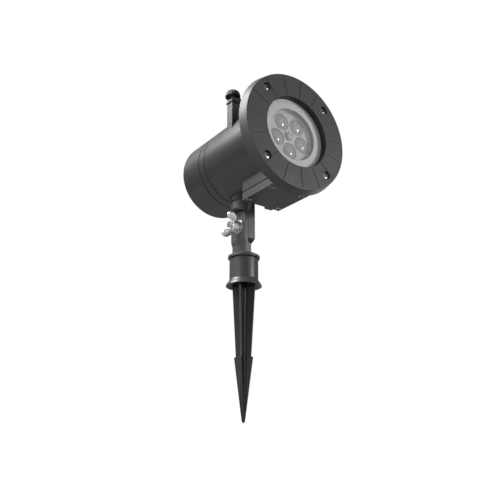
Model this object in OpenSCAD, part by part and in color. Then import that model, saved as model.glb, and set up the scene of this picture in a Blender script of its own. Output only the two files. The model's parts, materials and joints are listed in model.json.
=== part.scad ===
// Light projector stake: a round projector head with turning lenses and a
// slide slot, on a lap-joint knuckle, a swivelling stem and a ground spike.
// +Z is up along the stake, the head looks towards -Y, the tilt bolt lies
// along X, and the origin is on the stake axis at the ground line.

/* [Bezel] */
// Outer radius of the bezel's front edge
bezel_r = 50; // [49.5:0.1:51]
// Outer radius of the bezel's rear edge
bezel_back_r = 51.9; // [51.5:0.1:52.5]
// Depth of the bezel from front to rear edge
bezel_depth = 8.3; // [8:0.1:9]
// Radius of the round aperture
aperture_r = 30.5; // [29:0.1:31]
// Radius of the circle that the four bezel screws lie on
screw_circle_r = 42.6; // [41:0.1:43.5]
// Angle between two fine lines engraved on the bezel's face
line_step = 22.8; // [22:0.1:24]
// Depth of the window behind the bezel's front
window_recess = 5.6; // [5.2:0.1:6]

/* [Head] */
// Height of the optical axis above the ground line
head_z = 112.5; // [111:0.5:118]
// Distance of the bezel's front from the stake axis
front_offset = 72.8; // [72:0.1:76]
// Outer radius of the barrel
barrel_r = 35.5; // [35.2:0.1:36]
// Wall thickness of the barrel
wall = 2.4; // [2:0.1:2.6]
// Distance of the rear cap's back from the stake axis
back_offset = 50; // [48:0.5:56]

/* [Slide tower] */
// Half the width of the slide tower
tower_half_w = 33.3; // [33:0.1:34]
// Thickness of the slide tower from front to rear
tower_t = 7.4; // [7.2:0.1:8]
// Height of the tower's top above the ground line
tower_top = 150; // [150:0.5:156]
// Height of the slide cover
cover_h = 5.2; // [5:0.1:9]
// Largest radius of a thumb screw's cap
thumb_r = 6.6; // [5.5:0.1:7]

/* [Motor compartment] */
// Half the width of the motor compartment
block_half_w = 19; // [18.5:0.5:20]
// Height of its underside above the ground line
block_bottom = 64.5; // [63:0.5:66]
// Height of the parting line above the ground line
block_parting = 72; // [71:0.5:73]

/* [Knuckle] */
// Height of the tilt bolt above the ground line
bolt_z = 52; // [51.5:0.5:52.5]
// Radius of the tilt bolt
bolt_r = 3; // [2.5:0.1:3.2]
// Width of both knuckle plates from front to rear
plate_w = 20; // [18:0.5:20]
// Radius of the stem ear's round top
ear_r = 13.5; // [12:0.1:14]
// Radius of the arm's round lower end
arm_r = 15.4; // [15:0.1:15.8]

/* [Stake] */
// Radius of the stem's flange
flange_r = 13.4; // [12:0.1:14]
// Outer radius of the collar
collar_r = 12.1; // [11.9:0.1:12.5]
// Radius of the skirt's lip
skirt_r = 15.2; // [14.5:0.1:15.5]
// Length of the spike below the ground line
spike_length = 109.5; // [90:0.5:130]
// Full width of the spike's fins at the ground line
fin_w = 20; // [17:0.1:20.4]
// Turn of the spike's fins about the stake axis
fin_turn = 35; // [0:5:45]

/* [Lens wheel] */
// Teeth on the lens wheel
wheel_teeth = 60; // [60:6:60]
// Teeth on the motor pinion
pinion_teeth = 10; // [10:1:10]
// Number of lenses round the centre one
lens_count = 5; // [4:1:6]

/* [Hidden] */
$fn = 96;

gap = 0.05;                               // clearance of pieces that fit together
eps = 0.01;                               // overshoot of a cut
front_y = -front_offset;
bore_r = barrel_r - wall;                 // inside of the barrel
seat_depth = window_recess + 2.8;         // depth of the flange's rear face
bezel_lip_r = bezel_back_r - 3.3;         // inside of the bezel's rim
flange_out_r = bezel_lip_r - 0.4;
screw_angles = [45, 135, 225, 315];
line_mid = 45;                            // the lines start on either side of this angle
line_start = 16.5;
line_angles = concat([for (k = [0 : 6]) line_mid + line_start + k * line_step],
                     [for (k = [0 : 7]) line_mid - line_start - k * line_step]);
bezel_screw_r = 1.5;
window_r = 33.6;

groove = 0.8;                             // width of the two grooves round the barrel
ring_front = 10.9;                        // front groove, from the stake axis
ring_rear = 19.3;                         // rear groove, from the stake axis

tower_y = -25;                            // middle plane of the slide tower
tower_front = tower_y - tower_t / 2;
slot_t = 3.8;
slot_half_w = 27;
thumb_x = 30.2;
thumb_shank_r = 1.5;
slide_t = 3;
slide_half_w = 26;
slide_window_r = 20.5;

block_front = front_y + bezel_depth;
block_rear = -24;
block_l = block_rear - block_front;
compartment_front = block_front + 1.6;     // inner face of its front wall
cover_screw_x = 15.2;
cover_screw_y = [block_rear - 3.8, block_front + 6.6];
post_r = 3;

tooth = 1;                                // module of the two gears
wheel_pitch_r = tooth * wheel_teeth / 2;
pinion_pitch_r = tooth * pinion_teeth / 2;
pinion_z = head_z - wheel_pitch_r - pinion_pitch_r - 0.25;
wheel_depth = 10.4;                       // front of the lens wheel, behind the bezel's front
wheel_t = 4;
wheel_bore_r = 1.6;

lap_x = -2.7;                             // plane where the ear and the arm meet
ear_out = lap_x - 3.7;                    // outer face of the stem's ear
arm_out = lap_x + 6.9;                    // outer face of the arm
column_x = [-5, 0.2];
shoulder_z = bolt_z - arm_r - 0.6;
boss_r = 9.2;
boss_arch_r = 15;
socket_top = head_z - barrel_r - 0.4;
arm_screw_y = 4;

collar_top = 23.8;
tenon_r = 9;
flange_bottom = 24.1;
spike_plug_r = 10.4;

cap_screw_angles = [-90, 30, 150];        // measured downwards from +X
cap_screw_pos_r = 24;

gland_z = head_z - 17;
gland_bore_r = 3.2;

// Round hollow cylinder
module tube(ro, ri, h) {
  difference() {
    cylinder(r = ro, h = h);
    translate([0, 0, -eps]) cylinder(r = ri, h = h + 2 * eps);
  }
}

// Box between two corners
module span(low, high) {
  translate(low) cube(high - low);
}

// Children stand on the optical axis, their +Z pointing to the rear from Y = y
module rearward(y) {
  translate([0, y, head_z]) rotate([-90, 0, 0]) children();
}

// The same, measured as a depth behind the bezel's front
module at_depth(s) {
  rearward(front_y + s) children();
}

// Children stand on the bolt axis, their +Z pointing along +X from X = x
module along_bolt(x) {
  translate([x, 0, bolt_z]) rotate([0, 90, 0]) children();
}

// Children at the four bezel screws, seen from the front
module at_bezel_screws() {
  for (a = screw_angles)
    rotate(a) translate([screw_circle_r, 0, 0]) children();
}

// Children at the motor cover's four screws, at height z
module at_cover_screws(z) {
  for (x = [-cover_screw_x, cover_screw_x], y = cover_screw_y)
    translate([x, y, z]) children();
}

// Screw with a cross recess: head at the bottom end, shank going up
module cross_screw(head_r, head_h, shank_r, shank_l, turn = 20) {
  difference() {
    union() {
      translate([0, 0, 0.6]) cylinder(r = head_r, h = head_h - 0.6);
      cylinder(r1 = head_r - 0.6, r2 = head_r, h = 0.6 + eps);
    }
    rotate(turn) for (a = [0, 90]) rotate(a)
      translate([-head_r * 0.62, -0.35, -eps]) cube([head_r * 1.24, 0.7, head_h * 0.6]);
  }
  translate([0, 0, head_h - eps]) cylinder(r = shank_r, h = shank_l);
}

// Outline of a straight-sided gear: n teeth of module m
function gear_point(m, n, i, k) =
  let (rp = m * n / 2,
       r = k == 0 || k == 3 ? rp - 1.1 * m : rp + 0.8 * m,
       half = (k == 0 || k == 3 ? 1.02 : 0.40) * m,
       side = k < 2 ? -1 : 1,
       a = 360 * i / n + side * half / r * 180 / PI)
  [r * cos(a), r * sin(a)];

module gear_outline(m, n) {
  polygon([for (i = [0 : n - 1], k = [0 : 3]) gear_point(m, n, i, k)]);
}

// Ground spike: four tapering fins, a barb step and a plug for the collar
module spike_fin() {
  top = 3;
  barb_z = -58;
  rotate([90, 0, 0]) translate([0, 0, -1.25]) linear_extrude(2.5)
    polygon([[-fin_w / 2, top], [-6.4, barb_z], [-8, barb_z - 0.8],
             [-1.1, 1.5 - spike_length], [0, -spike_length], [1.1, 1.5 - spike_length],
             [8, barb_z - 0.8], [6.4, barb_z], [fin_w / 2, top]]);
}

module ground_spike() {
  color([0.05, 0.05, 0.055]) rotate(fin_turn) {
    for (a = [0, 90]) rotate(a) spike_fin();
    translate([0, 0, 2]) cylinder(r = spike_plug_r, h = 3);
    translate([0, 0, 4]) cylinder(r = tenon_r, h = 5.5);
    translate([0, 0, -spike_length + 14]) cylinder(r1 = 1.3, r2 = 2.6, h = spike_length - 12);
  }
}

// Collar: a tube with a flared skirt that rests on the ground
module spike_collar() {
  bore = tenon_r + gap;
  color([0.27, 0.27, 0.28]) rotate_extrude()
    polygon([[bore, collar_top], [bore, 6], [spike_plug_r + gap, 5.4], [spike_plug_r + gap, 3.2],
             [skirt_r - 1.2, 0], [skirt_r, 0], [skirt_r - 0.7, 1.6], [collar_r + 0.5, 4.4],
             [collar_r, 5.4], [collar_r, collar_top - 0.6], [collar_r - 0.6, collar_top]]);
}

// Stem: tenon, flange, flat column and the round-topped ear of the lap joint
module stem_body() {
  half_w = plate_w / 2;
  rotate_extrude()
    polygon([[0, 10], [tenon_r - 0.8, 10], [tenon_r, 10.8], [tenon_r, flange_bottom],
             [flange_r, flange_bottom], [flange_r, flange_bottom + 2], [11, flange_bottom + 3.4],
             [0, flange_bottom + 4.2]]);
  translate([0, half_w, 0]) rotate([90, 0, 0]) linear_extrude(plate_w)
    polygon([[column_x[0], 26], [column_x[1], 26], [column_x[1], shoulder_z - 1],
             [column_x[1] - 1, shoulder_z], [lap_x - 0.1, shoulder_z], [lap_x - 0.1, bolt_z],
             [ear_out, bolt_z], [ear_out, shoulder_z + 4], [column_x[0], shoulder_z]]);
  intersection() {
    along_bolt(ear_out) cylinder(r = ear_r, h = lap_x - 0.1 - ear_out);
    span([ear_out - 1, -half_w, bolt_z - 2], [lap_x, half_w, bolt_z + ear_r + 1]);
  }
}

module stem() {
  color([0.24, 0.24, 0.25]) difference() {
    stem_body();
    along_bolt(ear_out - 1) cylinder(r = bolt_r + gap, h = 6);
    along_bolt(ear_out - 1) cylinder(r = 7, h = 1.8);
  }
}

// Carriage bolt: domed head outside the arm, shank through both plates
module tilt_bolt() {
  color([0.72, 0.72, 0.74]) {
    along_bolt(ear_out - 9.4) cylinder(r = bolt_r, h = arm_out - ear_out + 9.6);
    along_bolt(arm_out + 0.1) intersection() {
      cylinder(r = 6, h = 3.4);
      translate([0, 0, -4.2]) sphere(r = 7.6);
    }
  }
}

module bolt_washer() {
  color([0.8, 0.8, 0.82]) along_bolt(ear_out + 0.1) tube(6.2, bolt_r + gap, 0.65);
}

// Wing nut: conical hub and two wings that rise outwards
module wing() {
  rotate([90, 0, 0]) translate([0, 0, -1.1]) linear_extrude(2.2) {
    polygon([[2.6, 0.6], [5.4, 1.7], [9, 5], [11.1, 9.2], [10.3, 13], [7.8, 13.9],
             [4.8, 11], [2.6, 6.4]]);
    translate([7.6, 10]) circle(r = 3.8);
  }
}

module wing_nut() {
  nut_turn = -30;
  color([0.86, 0.86, 0.88])
    translate([ear_out - 0.15, 0, bolt_z]) rotate([0, -90, 0]) rotate(nut_turn) difference() {
      union() {
        cylinder(r1 = 5.2, r2 = 4, h = 6.6);
        for (a = [0, 180]) rotate(a) wing();
      }
      translate([0, 0, -1]) cylinder(r = bolt_r + gap, h = 9);
    }
}

// Pivot arm: round boss in the housing's socket, arched over the ear, with
// the flat arm of the lap joint hanging from it
module pivot_arm() {
  half_w = plate_w / 2;
  lap = lap_x + 0.05;
  color([0.24, 0.24, 0.25]) difference() {
    union() {
      difference() {
        translate([lap_x, 0, 60]) cylinder(r = boss_r, h = socket_top - gap - 60);
        along_bolt(-20) cylinder(r = boss_arch_r, h = 40);
      }
      span([lap, -half_w, bolt_z], [arm_out, half_w, 74.3]);
      translate([lap, -half_w, 66]) rotate([0, 90, 0]) rotate(90) linear_extrude(2.4)
        polygon([[0, 0], [0, 8.3], [-5, 8.3]]);
      intersection() {
        along_bolt(lap) cylinder(r = arm_r, h = arm_out - lap);
        span([lap - 1, -half_w, bolt_z - arm_r - 1], [arm_out + 1, half_w, bolt_z + 2]);
      }
    }
    along_bolt(lap - 1) cylinder(r = bolt_r + gap, h = 12);
    for (y = [-arm_screw_y, arm_screw_y])
      translate([lap_x, y, 68.4]) cylinder(r = 1.55, h = 12);
  }
}

// The two screws that hold the arm, put in from inside the barrel
module arm_screws() {
  pad_top = head_z - bore_r + 0.9;
  color([0.75, 0.75, 0.77]) for (y = [-arm_screw_y, arm_screw_y])
    translate([lap_x, y, pad_top + 2.5]) rotate([180, 0, 0])
      cross_screw(3, 2.4, 1.5, 11);
}

// Main housing: barrel, front flange, slide tower and motor compartment
module housing_solid() {
  rearward(front_y + window_recess + 0.2)
    cylinder(r = flange_out_r, h = bezel_depth - window_recess - 0.2);
  rearward(front_y + window_recess + 0.2)
    cylinder(r = barrel_r, h = ring_front - groove / 2 - front_y - window_recess - 0.2);
  span([-tower_half_w, tower_front, head_z], [tower_half_w, tower_front + tower_t, tower_top]);
  span([-block_half_w, block_front - 1, block_parting], [block_half_w, block_rear, head_z - 20]);
  translate([lap_x, 0, socket_top - 2.2]) cylinder(r = boss_r + 1.4, h = 6);
}

module housing_bore() {
  rearward(front_y + window_recess) cylinder(r = bore_r, h = ring_front - front_y);
  rearward(front_y + window_recess) cylinder(r = window_r + gap, h = 3);
  difference() {
    span([-block_half_w + wall, compartment_front, block_parting - 1],
         [block_half_w - wall, block_rear - wall, head_z - 18]);
    at_cover_screws(block_parting) cylinder(r = post_r, h = 16);
  }
  span([-slot_half_w, tower_y - slot_t / 2, head_z], [slot_half_w, tower_y + slot_t / 2, tower_top + 1]);
  translate([lap_x, 0, socket_top - 5]) cylinder(r = boss_r + gap, h = 5);
}

module main_housing() {
  pad_r = 7;
  color([0.25, 0.25, 0.26]) difference() {
    union() {
      difference() {
        housing_solid();
        housing_bore();
      }
      translate([lap_x, 0, socket_top + eps])
        cylinder(r = pad_r, h = head_z - bore_r + 0.9 - socket_top);
    }
    for (x = [-thumb_x, thumb_x])
      translate([x, tower_y, tower_top - 14]) cylinder(r = thumb_shank_r + gap, h = 15);
    at_depth(window_recess) at_bezel_screws() cylinder(r = bezel_screw_r + gap, h = 4);
    at_cover_screws(block_parting - 1) cylinder(r = 1.25, h = 9);
    for (y = [-arm_screw_y, arm_screw_y])
      translate([lap_x, y, socket_top - 1]) cylinder(r = 1.55, h = 8);
  }
}

// Bezel: wide ring with fine radial lines and four recessed screw holes
module bezel_ring() {
  rotate_extrude($fn = 180)
    polygon([[aperture_r, 0.7], [aperture_r + 0.7, 0], [bezel_r - 0.8, 0], [bezel_r, 0.8],
             [bezel_back_r, bezel_depth], [bezel_lip_r, bezel_depth], [bezel_lip_r, window_recess],
             [aperture_r, window_recess]]);
}

module bezel() {
  line_in = aperture_r + 1.4;
  color([0.26, 0.26, 0.27]) at_depth(0) difference() {
    bezel_ring();
    at_bezel_screws() {
      translate([0, 0, -1]) cylinder(r = 3.5, h = 4.2);
      cylinder(r = bezel_screw_r + gap, h = bezel_depth);
    }
    for (a = line_angles) rotate(-a)
      translate([line_in, -0.22, -1]) cube([bezel_r - 1.4 - line_in, 0.44, 1.35]);
  }
}

module bezel_screws() {
  color([0.55, 0.55, 0.57]) at_depth(0.9) at_bezel_screws()
    cross_screw(2.8, 2.2, bezel_screw_r, 4.9);
}

module front_window() {
  color([0.8, 0.84, 0.86, 0.5]) at_depth(window_recess + gap) cylinder(r = window_r, h = 2);
}

module window_gasket() {
  color([0.05, 0.05, 0.05]) at_depth(window_recess + 2 + 2 * gap) tube(window_r, 30.9, 0.8);
}

// Motor cover: shallow tray closed on four screws, with a pry tab at the rear
module motor_cover() {
  cover_top = block_parting - 0.9;
  color([0.24, 0.24, 0.25]) difference() {
    union() {
      difference() {
        span([-block_half_w, block_front + 0.1, block_bottom], [block_half_w, block_rear, cover_top]);
        span([-block_half_w + wall, block_front + wall, block_bottom + 2],
             [block_half_w - wall, block_rear - wall, cover_top + 1]);
      }
      at_cover_screws(block_bottom + 1) cylinder(r = post_r + 0.6, h = cover_top - block_bottom - 1);
      span([6, block_rear - 1, block_bottom], [13, block_rear + 3, block_bottom + 1.8]);
    }
    at_cover_screws(block_bottom - 1) cylinder(r = 1.55, h = 12);
    at_cover_screws(block_bottom - 1) cylinder(r = 3, h = 2.4);
  }
}

module motor_cover_gasket() {
  z = block_parting - 0.9 + gap;
  color([0.04, 0.04, 0.04]) difference() {
    span([-block_half_w + 0.4, block_front + 0.5, z], [block_half_w - 0.4, block_rear - 0.4, block_parting - gap]);
    span([-block_half_w + wall, compartment_front, z - 1],
         [block_half_w - wall, block_rear - wall, block_parting + 1]);
  }
}

module motor_cover_screws() {
  color([0.72, 0.72, 0.74]) at_cover_screws(block_bottom - 0.7) cross_screw(2.6, 2, 1.2, 12);
}

// Gear motor under the light path; its shaft carries the pinion
module gear_motor() {
  motor_front = front_y + 20.5;
  color([0.7, 0.68, 0.6]) {
    translate([0, motor_front, pinion_z]) rotate([-90, 0, 0]) {
      cylinder(r = 7.6, h = 9);
      translate([0, 0, 9 - eps]) cylinder(r = 6.6, h = 13);
      translate([0, 0, -9.6]) cylinder(r = 1, h = 10);
      translate([0, 0, -1.4]) cylinder(r = 2.6, h = 1.5);
    }
    for (x = [-2, 2]) translate([x - 0.5, motor_front + 22, pinion_z - 0.4]) cube([1, 3, 0.8]);
  }
}

// Saddle that clamps the motor between the compartment's walls
module motor_bracket() {
  color([0.85, 0.85, 0.82])
    difference() {
      span([-block_half_w + wall + 0.2, front_y + 20, block_bottom + 2.2],
           [block_half_w - wall - 0.2, front_y + 27, pinion_z + 1.5]);
      translate([0, front_y + 18, pinion_z]) rotate([-90, 0, 0]) cylinder(r = 7.6 + gap, h = 12);
    }
}

// Three-armed spider that carries the lens wheel's axle
module wheel_spider() {
  hub_r = 3.6;
  color([0.12, 0.12, 0.12]) at_depth(wheel_depth + wheel_t + 1.2) difference() {
    union() {
      tube(bore_r - gap, bore_r - 2.6, 2.4);
      cylinder(r = hub_r, h = 3.4);
      for (a = [30, 150, 270]) rotate(a)
        translate([2.6, -0.9, 0.2]) cube([bore_r - 4, 1.8, 2]);
    }
    translate([0, 0, -1]) cylinder(r = 1.5 + gap, h = 6);
  }
}

module wheel_axle() {
  color([0.8, 0.8, 0.82]) at_depth(wheel_depth - 0.9) {
    translate([0, 0, 0.9]) cylinder(r = 1.5, h = wheel_t + 4.5);
    cylinder(r = 2.4, h = 0.7);
    cylinder(r = 1.5, h = 1.2);
  }
}

// Lens wheel: toothed rim, stepped face and seats for the lenses
module lens_seats(r_extra) {
  for (i = [0 : lens_count - 1]) rotate(90 + i * 360 / lens_count)
    translate([13.4, 0, -1]) cylinder(r = 7.2 + r_extra, h = wheel_t + 2);
}

module lens_wheel() {
  color([0.83, 0.84, 0.85]) at_depth(wheel_depth) difference() {
    union() {
      rotate(180 / wheel_teeth) linear_extrude(wheel_t) gear_outline(tooth, wheel_teeth);
      translate([0, 0, -1]) tube(24.6, 22.2, 1.5);
    }
    lens_seats(gap);
    translate([0, 0, -eps]) tube(21.6, 20.9, 0.5);
    translate([0, 0, -2]) cylinder(r = wheel_bore_r, h = wheel_t + 4);
  }
}

module wheel_lenses() {
  color([0.86, 0.9, 0.92, 0.6]) at_depth(wheel_depth)
    for (i = [0 : lens_count - 1]) rotate(90 + i * 360 / lens_count) translate([13.4, 0, 0])
      intersection() {
        translate([0, 0, -1.6]) cylinder(r = 7.2, h = wheel_t + 1.4);
        translate([0, 0, 10.2]) sphere(r = 12);
      }
}

// Cap that keeps the wheel on its axle
module wheel_cap() {
  color([0.9, 0.9, 0.88]) at_depth(wheel_depth - 2.6) difference() {
    union() {
      cylinder(r1 = 2.4, r2 = 3.8, h = 1.2 + eps);
      translate([0, 0, 1.2]) cylinder(r = 3.8, h = 1.3);
    }
    translate([0, 0, 1.6]) cylinder(r = 2.5, h = 2);
    translate([-1.7, -0.35, -eps]) cube([3.4, 0.7, 0.7]);
    translate([-0.35, -1.7, -eps]) cube([0.7, 3.4, 0.7]);
  }
}

module motor_pinion() {
  color([0.92, 0.9, 0.84])
    translate([0, front_y + wheel_depth + 0.2, pinion_z]) rotate([-90, 0, 0]) difference() {
      rotate(180 / pinion_teeth) linear_extrude(wheel_t - 0.4) gear_outline(tooth, pinion_teeth);
      translate([0, 0, -1]) cylinder(r = 1 + gap, h = wheel_t + 2);
    }
}

// Bulkhead that guides the slide across the light path
module slide_guide() {
  slot = slot_t - 0.2;
  color([0.1, 0.1, 0.1]) difference() {
    rearward(tower_front) cylinder(r = bore_r - gap, h = tower_t);
    rearward(tower_front - 1) cylinder(r = slide_window_r, h = tower_t + 2);
    rearward(tower_y - slot / 2) cylinder(r = slide_half_w + 0.4, h = slot);
    span([-slide_half_w - 0.4, tower_y - slot / 2, head_z],
         [slide_half_w + 0.4, tower_y + slot / 2, head_z + barrel_r]);
    span([-block_half_w, tower_front - 1, head_z - bore_r - 4], [block_half_w, tower_front + tower_t + 1, head_z - 30]);
  }
}

// Condenser optics between the slide and the light source
module condenser_holder() {
  y0 = tower_front + tower_t + 0.4;
  color([0.1, 0.1, 0.1]) rearward(y0) rotate_extrude()
    polygon([[20, 0], [bore_r - gap, 0], [bore_r - gap, 3], [24.6, 4], [24.6, 21], [22.4, 21],
             [22.4, 3], [20, 3]]);
}

module condenser_lens() {
  color([0.8, 0.88, 0.92, 0.6]) rearward(tower_front + tower_t + 3.6) intersection() {
    cylinder(r = 22.3, h = 9);
    translate([0, 0, -24]) sphere(r = 32.6);
  }
}

module collimator_lens() {
  color([0.8, 0.88, 0.92, 0.6]) rearward(-3) difference() {
    intersection() {
      cylinder(r = 16, h = 7);
      translate([0, 0, 18]) sphere(r = 18);
    }
    translate([0, 0, 4.6]) cylinder(r = 7, h = 3);
  }
}

module led_board() {
  color([0.9, 0.9, 0.86]) rearward(6) difference() {
    cylinder(r = 27, h = 1.6);
    for (a = [90, 210, 330]) rotate(a) translate([22, 0, -1]) cylinder(r = 1.6, h = 4);
  }
}

module leds() {
  color([0.95, 0.9, 0.55]) rearward(6) for (a = [45 : 90 : 315])
    rotate(a) translate([3, 0, -1.2]) cylinder(r = 1.6, h = 1.2);
}

function fin_half(x) = sqrt(19 * 19 - x * x);

module heat_sink() {
  color([0.75, 0.76, 0.78]) rearward(7.7) difference() {
    union() {
      cylinder(r = 29, h = 3);
      for (x = [-14 : 7 : 14])
        translate([x - 0.8, -fin_half(x), 2]) cube([1.6, 2 * fin_half(x), 11]);
    }
    for (a = [90, 210, 330]) rotate(a) translate([22, 0, -1]) cylinder(r = 1.3, h = 6);
  }
}

module board_screws() {
  color([0.7, 0.7, 0.72]) rearward(3.9) for (a = [90, 210, 330])
    rotate(a) translate([22, 0, 0]) cross_screw(2.7, 2, 1.25, 4.4);
}

// Ring between the two grooves, with spigots into both halves
module seam_ring() {
  front = ring_front + groove / 2;
  length = ring_rear - ring_front - groove;
  color([0.25, 0.25, 0.26]) {
    rearward(front) tube(barrel_r, bore_r - 1.6, length);
    rearward(front - 4) difference() {
      tube(bore_r - gap, bore_r - 1.6, length + 8);
      for (s = [1, length + 5]) translate([0, 0, s]) tube(bore_r + 1, bore_r - 1, 1.8);
    }
    for (a = cap_screw_angles) rearward(front + 0.8) rotate(a) difference() {
      union() {
        translate([cap_screw_pos_r, 0, 0]) cylinder(r = 3.2, h = back_offset - 3.1 - front - 0.8);
        translate([cap_screw_pos_r, -1.2, 0]) cube([bore_r - 1 - cap_screw_pos_r, 2.4, 10]);
      }
      translate([cap_screw_pos_r, 0, 20]) cylinder(r = 1.55, h = 20);
    }
  }
}

module seal_rings() {
  front = ring_front + groove / 2 - 3;
  color([0.03, 0.03, 0.03]) for (s = [0, ring_rear - ring_front - groove + 4])
    rearward(front + s + 0.1) tube(bore_r - gap, bore_r - 1 + gap, 1.6);
}

module driver_board() {
  color([0.1, 0.35, 0.18]) span([-16, 32, head_z - 20], [16, 33.6, head_z + 19]);
}

// Transformer, capacitor and coil on the driver board
module driver_parts() {
  color([0.75, 0.65, 0.2]) {
    span([-14, 24.6, head_z - 6], [0, 32, head_z + 10]);
    translate([9, 32, head_z + 3]) rotate([90, 0, 0]) cylinder(r = 5, h = 9);
    translate([8, 32, head_z - 11]) rotate([90, 0, 0]) tube(5, 2.4, 4);
  }
}

// Rear cap: round cup with a soft rear edge
module rear_cap() {
  front = ring_rear + groove / 2;
  round_r = 6;
  length = back_offset - front;
  color([0.25, 0.25, 0.26]) difference() {
    rearward(front) rotate_extrude() difference() {
      union() {
        square([barrel_r, length - round_r]);
        square([barrel_r - round_r, length]);
        translate([barrel_r - round_r, length - round_r]) circle(r = round_r);
      }
      translate([-1, -1]) square([bore_r + 1, length - round_r + 1]);
      translate([-1, -1]) square([bore_r - 3, length - 2]);
    }
    translate([0, back_offset - 6, gland_z]) rotate([-90, 0, 0]) cylinder(r = 5 + gap, h = 8);
    for (a = cap_screw_angles) rearward(back_offset - 6) rotate(a)
      translate([cap_screw_pos_r, 0, 0]) {
        cylinder(r = 1.55, h = 8);
        translate([0, 0, 4.2]) cylinder(r = 3.1, h = 3);
      }
  }
}

// The three screws that close the rear cap
module rear_cap_screws() {
  color([0.7, 0.7, 0.72]) rearward(back_offset - 0.3) for (a = cap_screw_angles)
    rotate(a) translate([cap_screw_pos_r, 0, 0]) rotate([180, 0, 0])
      cross_screw(2.7, 1.4, 1.5, 9);
}

// Cable gland: body with a flange outside, held by a nut inside
module cable_gland() {
  color([0.06, 0.06, 0.06]) translate([0, back_offset, gland_z]) rotate([-90, 0, 0]) difference() {
    union() {
      translate([0, 0, -8]) cylinder(r = 5, h = 9);
      translate([0, 0, gap]) cylinder(r = 8, h = 2);
      translate([0, 0, 2]) cylinder(r = 7.4, h = 4.4, $fn = 6);
      translate([0, 0, 6.4]) cylinder(r1 = 6.2, r2 = 4.6, h = 5);
    }
    translate([0, 0, -9]) cylinder(r = gland_bore_r, h = 22);
  }
}

module gland_nut() {
  color([0.06, 0.06, 0.06]) translate([0, back_offset - 7.4, gland_z]) rotate([-90, 0, 0])
    difference() {
      cylinder(r = 7.6, h = 4, $fn = 6);
      translate([0, 0, -1]) cylinder(r = 5 + gap, h = 6);
    }
}

// Slide cover: lid of the tower with a thin lip at its seam
module slide_cover() {
  z0 = tower_top + 0.8;
  color([0.24, 0.24, 0.25]) difference() {
    union() {
      span([-tower_half_w, tower_front, z0], [tower_half_w, tower_front + tower_t, z0 + cover_h]);
      span([-tower_half_w - 0.8, tower_front - 0.8, z0],
           [tower_half_w + 0.8, tower_front + tower_t + 0.8, z0 + 1.4]);
    }
    span([-slide_half_w - gap, tower_y - slide_t / 2 - gap, z0 - 1],
         [slide_half_w + gap, tower_y + slide_t / 2 + gap, z0 + 3]);
    for (x = [-thumb_x, thumb_x])
      translate([x, tower_y, z0 - 1]) cylinder(r = thumb_shank_r + gap, h = cover_h + 2);
  }
}

module cover_gasket() {
  color([0.03, 0.03, 0.03]) difference() {
    span([-tower_half_w, tower_front, tower_top + gap],
         [tower_half_w, tower_front + tower_t, tower_top + 0.8 - gap]);
    span([-slide_half_w - gap, tower_y - slide_t / 2 - gap, tower_top - 1],
         [slide_half_w + gap, tower_y + slide_t / 2 + gap, tower_top + 2]);
    for (x = [-thumb_x, thumb_x])
      translate([x, tower_y, tower_top - 1]) cylinder(r = thumb_shank_r + gap, h = 3);
  }
}

// Slide: a thin frame with a round bottom that holds the pattern film
module slide_frame() {
  color([0.14, 0.14, 0.15]) difference() {
    union() {
      rearward(tower_y - slide_t / 2) cylinder(r = slide_half_w, h = slide_t);
      span([-slide_half_w, tower_y - slide_t / 2, head_z],
           [slide_half_w, tower_y + slide_t / 2, tower_top + 0.8 + 2.9]);
    }
    rearward(tower_y - slide_t) cylinder(r = slide_window_r, h = 2 * slide_t);
  }
}

module pattern_film() {
  color([0.5, 0.6, 0.9, 0.6]) rearward(tower_y - 0.3) cylinder(r = slide_window_r - gap, h = 0.6);
}

// Thumb screw: conical knurled cap and a threaded shank
module thumb_screw(x) {
  z0 = tower_top + 0.8 + cover_h + 0.3;
  grooves = 20;
  color([0.04, 0.04, 0.045]) translate([x, tower_y, z0]) {
    difference() {
      rotate_extrude()
        polygon([[0, 0], [thumb_r - 0.8, 0], [thumb_r, 0.8], [thumb_r, 2], [thumb_r - 0.9, 5],
                 [thumb_r - 1.9, 5.8], [0, 6]]);
      for (i = [0 : grooves - 1]) rotate(i * 360 / grooves)
        translate([thumb_r + 0.15, 0, 1.1]) cylinder(r = 0.5, h = 8, $fn = 16);
    }
    translate([0, 0, -20]) cylinder(r = thumb_shank_r, h = 20 + eps);
  }
}

module left_thumb_screw() { thumb_screw(-thumb_x); }
module right_thumb_screw() { thumb_screw(thumb_x); }

ground_spike();
spike_collar();
stem();
tilt_bolt();
bolt_washer();
wing_nut();
pivot_arm();
arm_screws();
main_housing();
bezel();
bezel_screws();
front_window();
window_gasket();
motor_cover();
motor_cover_gasket();
motor_cover_screws();
gear_motor();
motor_bracket();
wheel_spider();
wheel_axle();
lens_wheel();
wheel_lenses();
wheel_cap();
motor_pinion();
slide_guide();
condenser_holder();
condenser_lens();
collimator_lens();
led_board();
leds();
heat_sink();
board_screws();
seam_ring();
seal_rings();
driver_board();
driver_parts();
rear_cap();
rear_cap_screws();
cable_gland();
gland_nut();
slide_cover();
cover_gasket();
slide_frame();
pattern_film();
left_thumb_screw();
right_thumb_screw();
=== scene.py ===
"""Looks of the light projector stake: its finishes, its finely shaped pieces, the studio and the camera.

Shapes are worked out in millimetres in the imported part's own frame: +Z points up along the stake, the head
looks towards -Y, and the origin is on the stake's axis at the ground line. They become metres in one place,
Shell.piece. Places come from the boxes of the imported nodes.
"""

import json
import logging
import math
from dataclasses import dataclass, field
from enum import Enum

import bpy
import numpy as np
from mathutils import Matrix, Vector


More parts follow.
